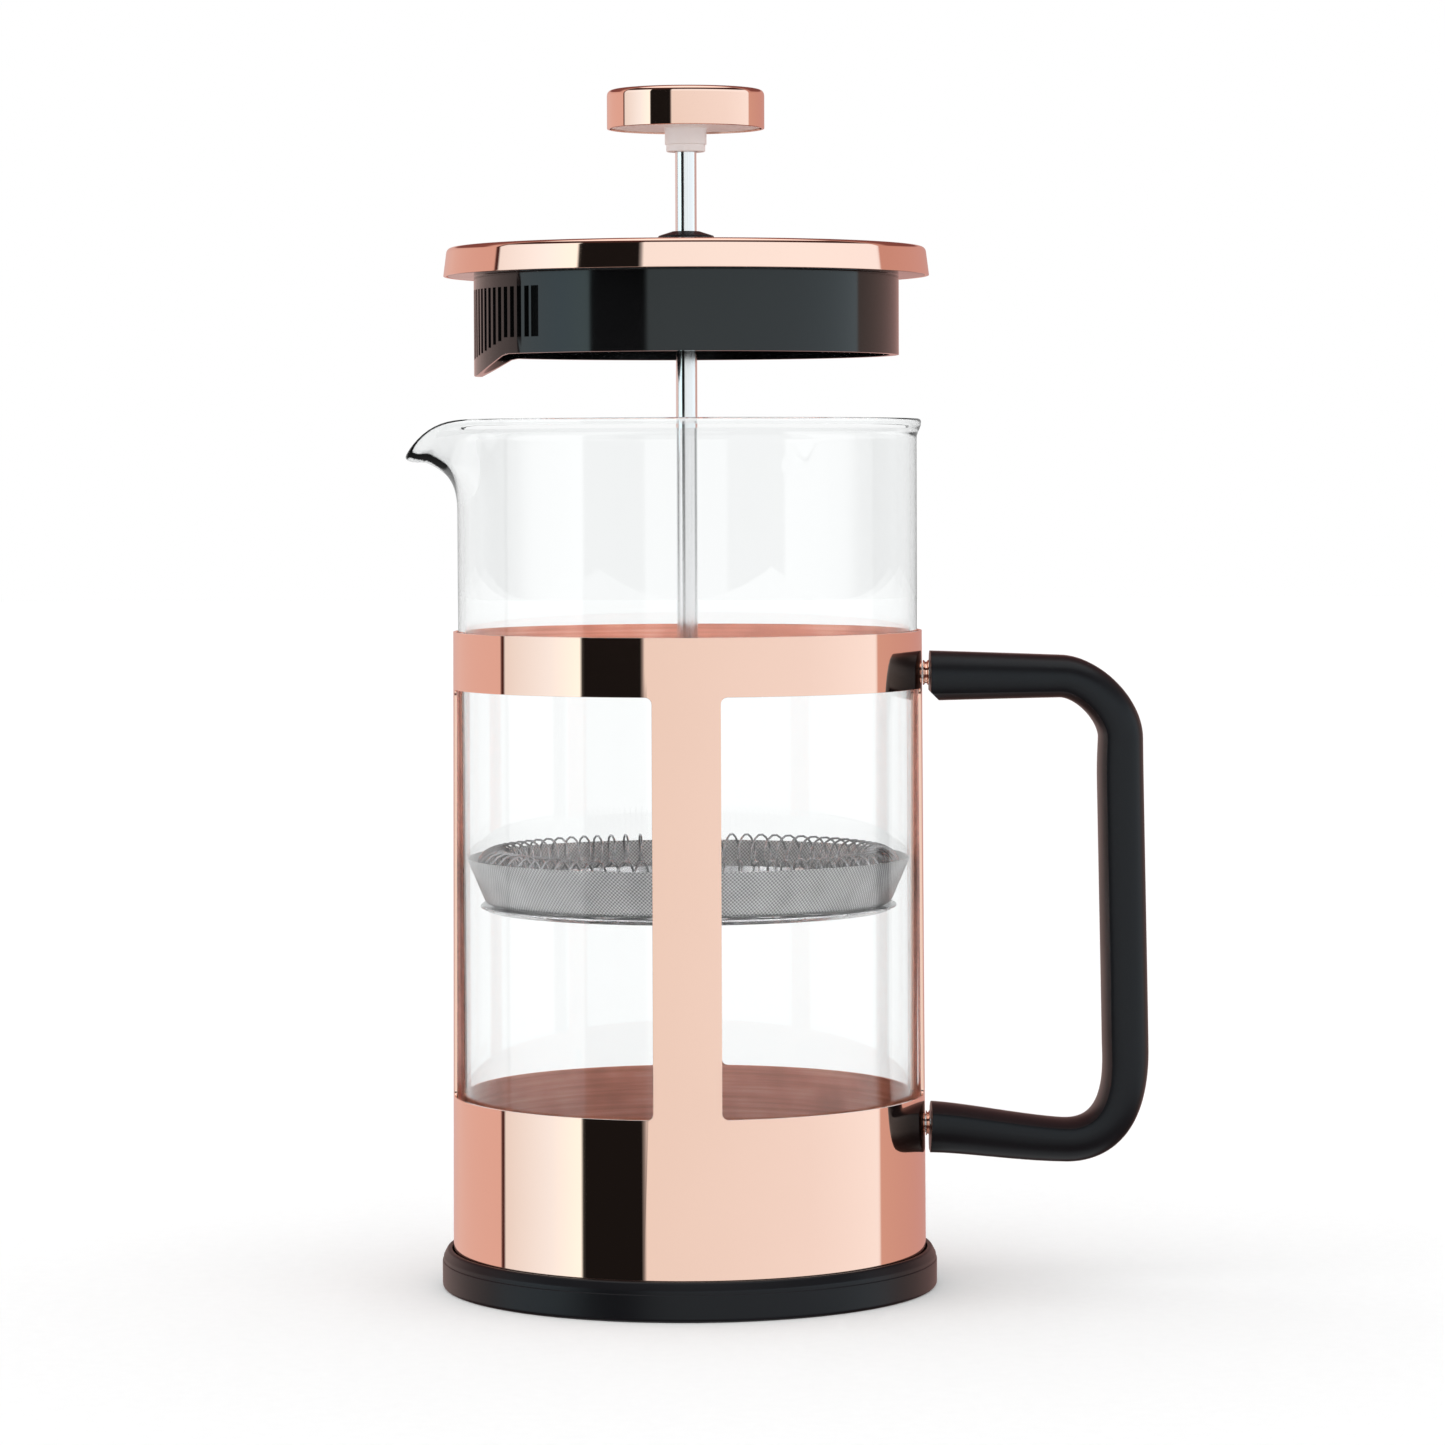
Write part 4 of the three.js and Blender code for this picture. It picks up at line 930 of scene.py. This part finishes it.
for i in range(lid["slots"]):
    turn = math.radians(180 + (i - (lid["slots"] - 1) / 2) * lid["pitch"])
    foot = tongueEdge(skirtR * math.cos(turn)) + lid["border"]
    wide = lid["slotWidth"] * (lid["lastSlot"] if i == lid["slots"] - 1 else 1) / 2
    slot = boxPiece((skirtR - lid["slotDepth"], -wide, foot), (skirtR + 2, wide, slotTop))
    slots.append(copyOf(slot, turn))
    bpy.data.objects.remove(slot)
cutAway(lidBody, joined(slots))
softenEdges(lidBody, lid["edge"], 2, 50)
finishPiece(lidBody, "lid_body", blackGloss, smooth=30)

# guide bush and its nut

bush = {"bore": 2.6, "shank": 4.2, "stands": 2.2, "flangeHeight": 1.2, "lip": 0.35}
flangeLow = bushHigh.z - bush["stands"]
piece = spunPiece("guideBush", rounded([
    (bush["bore"], bushLow.z, 0), (bush["shank"], bushLow.z, 0.3), (bush["shank"], flangeLow, 0.05),
    (bushHigh.x, flangeLow, 0.2), (bushHigh.x, flangeLow + bush["flangeHeight"], 0.35),
    (bush["bore"] + bush["lip"], bushHigh.z, 0.12), (bush["bore"], bushHigh.z, 0.05)]), steps=72, closed=True)
finishPiece(piece, "guide_bush", satinBlack)
low, high = boxOf("guide_nut")
piece = spunPiece("guideNut", rounded([
    (bore, low.z, 0), (high.x, low.z, 0.5), (high.x, high.z, 0.5), (bore, high.z, 0.2)]),
    steps=72, closed=True)
finishPiece(piece, "guide_nut", satinBlack)

# knob: copper-plated shell over a white core with a stepped collar

knob = {"bore": 2.6, "sheet": 0.6, "fillet": 1.4, "collar": 4.5, "step": 0.3, "stepHeight": 1.5, "gap": 0.3}
low, high = boxOf("knob_shell")
piece = spunPiece("knobShell", rounded([
    (0, high.z - knob["sheet"], 0), (high.x - knob["sheet"], high.z - knob["sheet"], knob["fillet"] - 0.5),
    (high.x - knob["sheet"], low.z, 0.05), (high.x, low.z, 0.2), (high.x, high.z, knob["fillet"]),
    (0, high.z, 0)], steps=7), steps=160)
finishPiece(piece, "knob_shell", copper, smooth=30)
coreFoot, socket = low.z + knob["gap"], boxOf("plunger_rod")[1].z + knob["gap"]
low, high = boxOf("knob_core")
stepR, stepZ = knob["collar"] - knob["step"], low.z + knob["stepHeight"]
piece = spunPiece("knobCore", rounded([
    (knob["bore"], low.z, 0), (stepR, low.z, 0.3), (stepR, stepZ, 0.05), (knob["collar"], stepZ + 0.1, 0.1),
    (knob["collar"], coreFoot, 0.5), (high.x, coreFoot, 0.2), (high.x, high.z, 1.0), (0, high.z, 0),
    (0, socket, 0), (knob["bore"], socket, 0)]), steps=96, closed=True)
finishPiece(piece, "knob_core", whitePlastic)

# rod, collar and hub nut

low, high = boxOf("plunger_rod")
piece = spunPiece("plungerRod", rounded([
    (0, low.z, 0), (high.x, low.z, 0.4), (high.x, high.z, 0.4), (0, high.z, 0)]), steps=64)
finishPiece(piece, "plunger_rod", drawnSteel)
for node, name, waist in (("rod_collar", "rodCollar", 0.5), ("hub_nut", "hubNut", 0.4)):
    low, high = boxOf(node)
    middle = (low.z + high.z) / 2
    piece = spunPiece(name, rounded([
        (knob["bore"], low.z, 0), (high.x, low.z, 0.4), (high.x, middle - 0.5, 0.1),
        (high.x - waist, middle - 0.3, 0.1), (high.x - waist, middle + 0.3, 0.1), (high.x, middle + 0.5, 0.1),
        (high.x, high.z, 0.4), (knob["bore"], high.z, 0)]), steps=64, closed=True)
    finishPiece(piece, node, pressedSteel)

# filter stack: spring plate, coil, woven cup and perforated plate

filterStack = {"bore": 2.6, "hole": 3.2, "firstRing": 13, "ringPitch": 10.5, "perRing": 6, "margin": 5,
               "plateSheet": 0.6, "lipOut": 1.6, "lipIn": 1.9, "gauze": 0.4, "flare": 4.2, "footRound": 1.5,
               "springRise": 4, "springSlope": 0.6, "springSheet": 0.6}
coilWire = {"turns": 76, "perTurn": 14, "radius": 0.25, "ease": 0.25, "lift": 0.4}


def holeCutter(edgeR, bottom, top):
    # rings of round holes, each ring with six more than the one inside it
    clearSelection()
    bpy.ops.mesh.primitive_cylinder_add(
        vertices=24, radius=filterStack["hole"] * mm, depth=(top - bottom + 4) * mm,
        location=(0, 0, (top + bottom) / 2 * mm))
    first = bpy.context.object
    bpy.ops.object.transform_apply(location=True)
    copies, count = [], filterStack["perRing"]
    radius = filterStack["firstRing"]
    while radius < edgeR - filterStack["margin"] - filterStack["hole"]:
        for i in range(count):
            turn = math.tau * i / count
            copies.append(copyOf(first, 0, (radius * math.cos(turn) * mm, radius * math.sin(turn) * mm, 0)))
        radius += filterStack["ringPitch"]
        count += filterStack["perRing"]
    bpy.data.objects.remove(first)
    return joined(copies)


low, high = boxOf("perforated_plate")
plateR, plateLow, plateTop, thin = high.x, low.z, high.z, filterStack["plateSheet"]
piece = spunPiece("filterPlate", rounded([
    (filterStack["bore"], plateLow, 0), (plateR - filterStack["lipOut"], plateLow, 0.8),
    (plateR, plateTop - 0.3, 0.2), (plateR - 0.25, plateTop, 0.15),
    (plateR - filterStack["lipIn"], plateLow + thin, 0.6), (filterStack["bore"], plateLow + thin, 0)]),
    steps=192, closed=True)
cutAway(piece, holeCutter(plateR, plateLow, plateTop))
finishPiece(piece, "perforated_plate", pressedSteel, smooth=30)

low, high = boxOf("mesh_filter")
rimR, footR = high.x, high.x - filterStack["flare"]
gauze, foot = filterStack["gauze"], filterStack["footRound"]
piece = spunPiece("gauzeCup", rounded([
    (filterStack["bore"], low.z, 0), (footR, low.z, foot), (rimR, high.z, 0.1), (rimR - gauze, high.z, 0.1),
    (footR - gauze, low.z + gauze, foot), (filterStack["bore"], low.z + gauze, 0)], steps=6),
    steps=192, closed=True)
finishPiece(piece, "mesh_filter", steelWoven(footR))

low, high = boxOf("spring_plate")
rise, sheet = filterStack["springRise"], filterStack["springSheet"]
slopeR = high.x - rise * filterStack["springSlope"]
piece = spunPiece("springPlate", rounded([
    (filterStack["bore"], low.z, 0), (slopeR, low.z, 1.2), (high.x, low.z + rise, 0.1),
    (high.x - sheet, low.z + rise, 0.1), (slopeR - 0.5, low.z + sheet, 1.0),
    (filterStack["bore"], low.z + sheet, 0)]), steps=192, closed=True)
cutAway(piece, holeCutter(slopeR, low.z, low.z + 0.8))
finishPiece(piece, "spring_plate", pressedSteel, smooth=30)

low, high = boxOf("coil_spring")
turnR = (high.z - low.z) / 2 - coilWire["radius"] + coilWire["ease"]
coilZ, coilR = (low.z + high.z) / 2 + coilWire["lift"], high.x - turnR - coilWire["radius"]
curve = bpy.data.curves.new("coilSpring", "CURVE")
curve.dimensions = "3D"
spline = curve.splines.new("POLY")
count = coilWire["turns"] * coilWire["perTurn"]
spline.points.add(count - 1)
for i, point in enumerate(spline.points):
    around = math.tau * i / count
    turn = around * coilWire["turns"]
    r = (coilR + turnR * math.cos(turn)) * mm
    point.co = (r * math.cos(around), r * math.sin(around), (coilZ + turnR * math.sin(turn)) * mm, 1)
spline.use_cyclic_u = True
curve.bevel_depth, curve.bevel_resolution = coilWire["radius"] * mm, 1
coil = bpy.data.objects.new("coilSpring", curve)
scene.collection.objects.link(coil)
pick(coil)
bpy.ops.object.convert(target="MESH")
finishPiece(bpy.context.object, "coil_spring", springSteel, smooth=60)
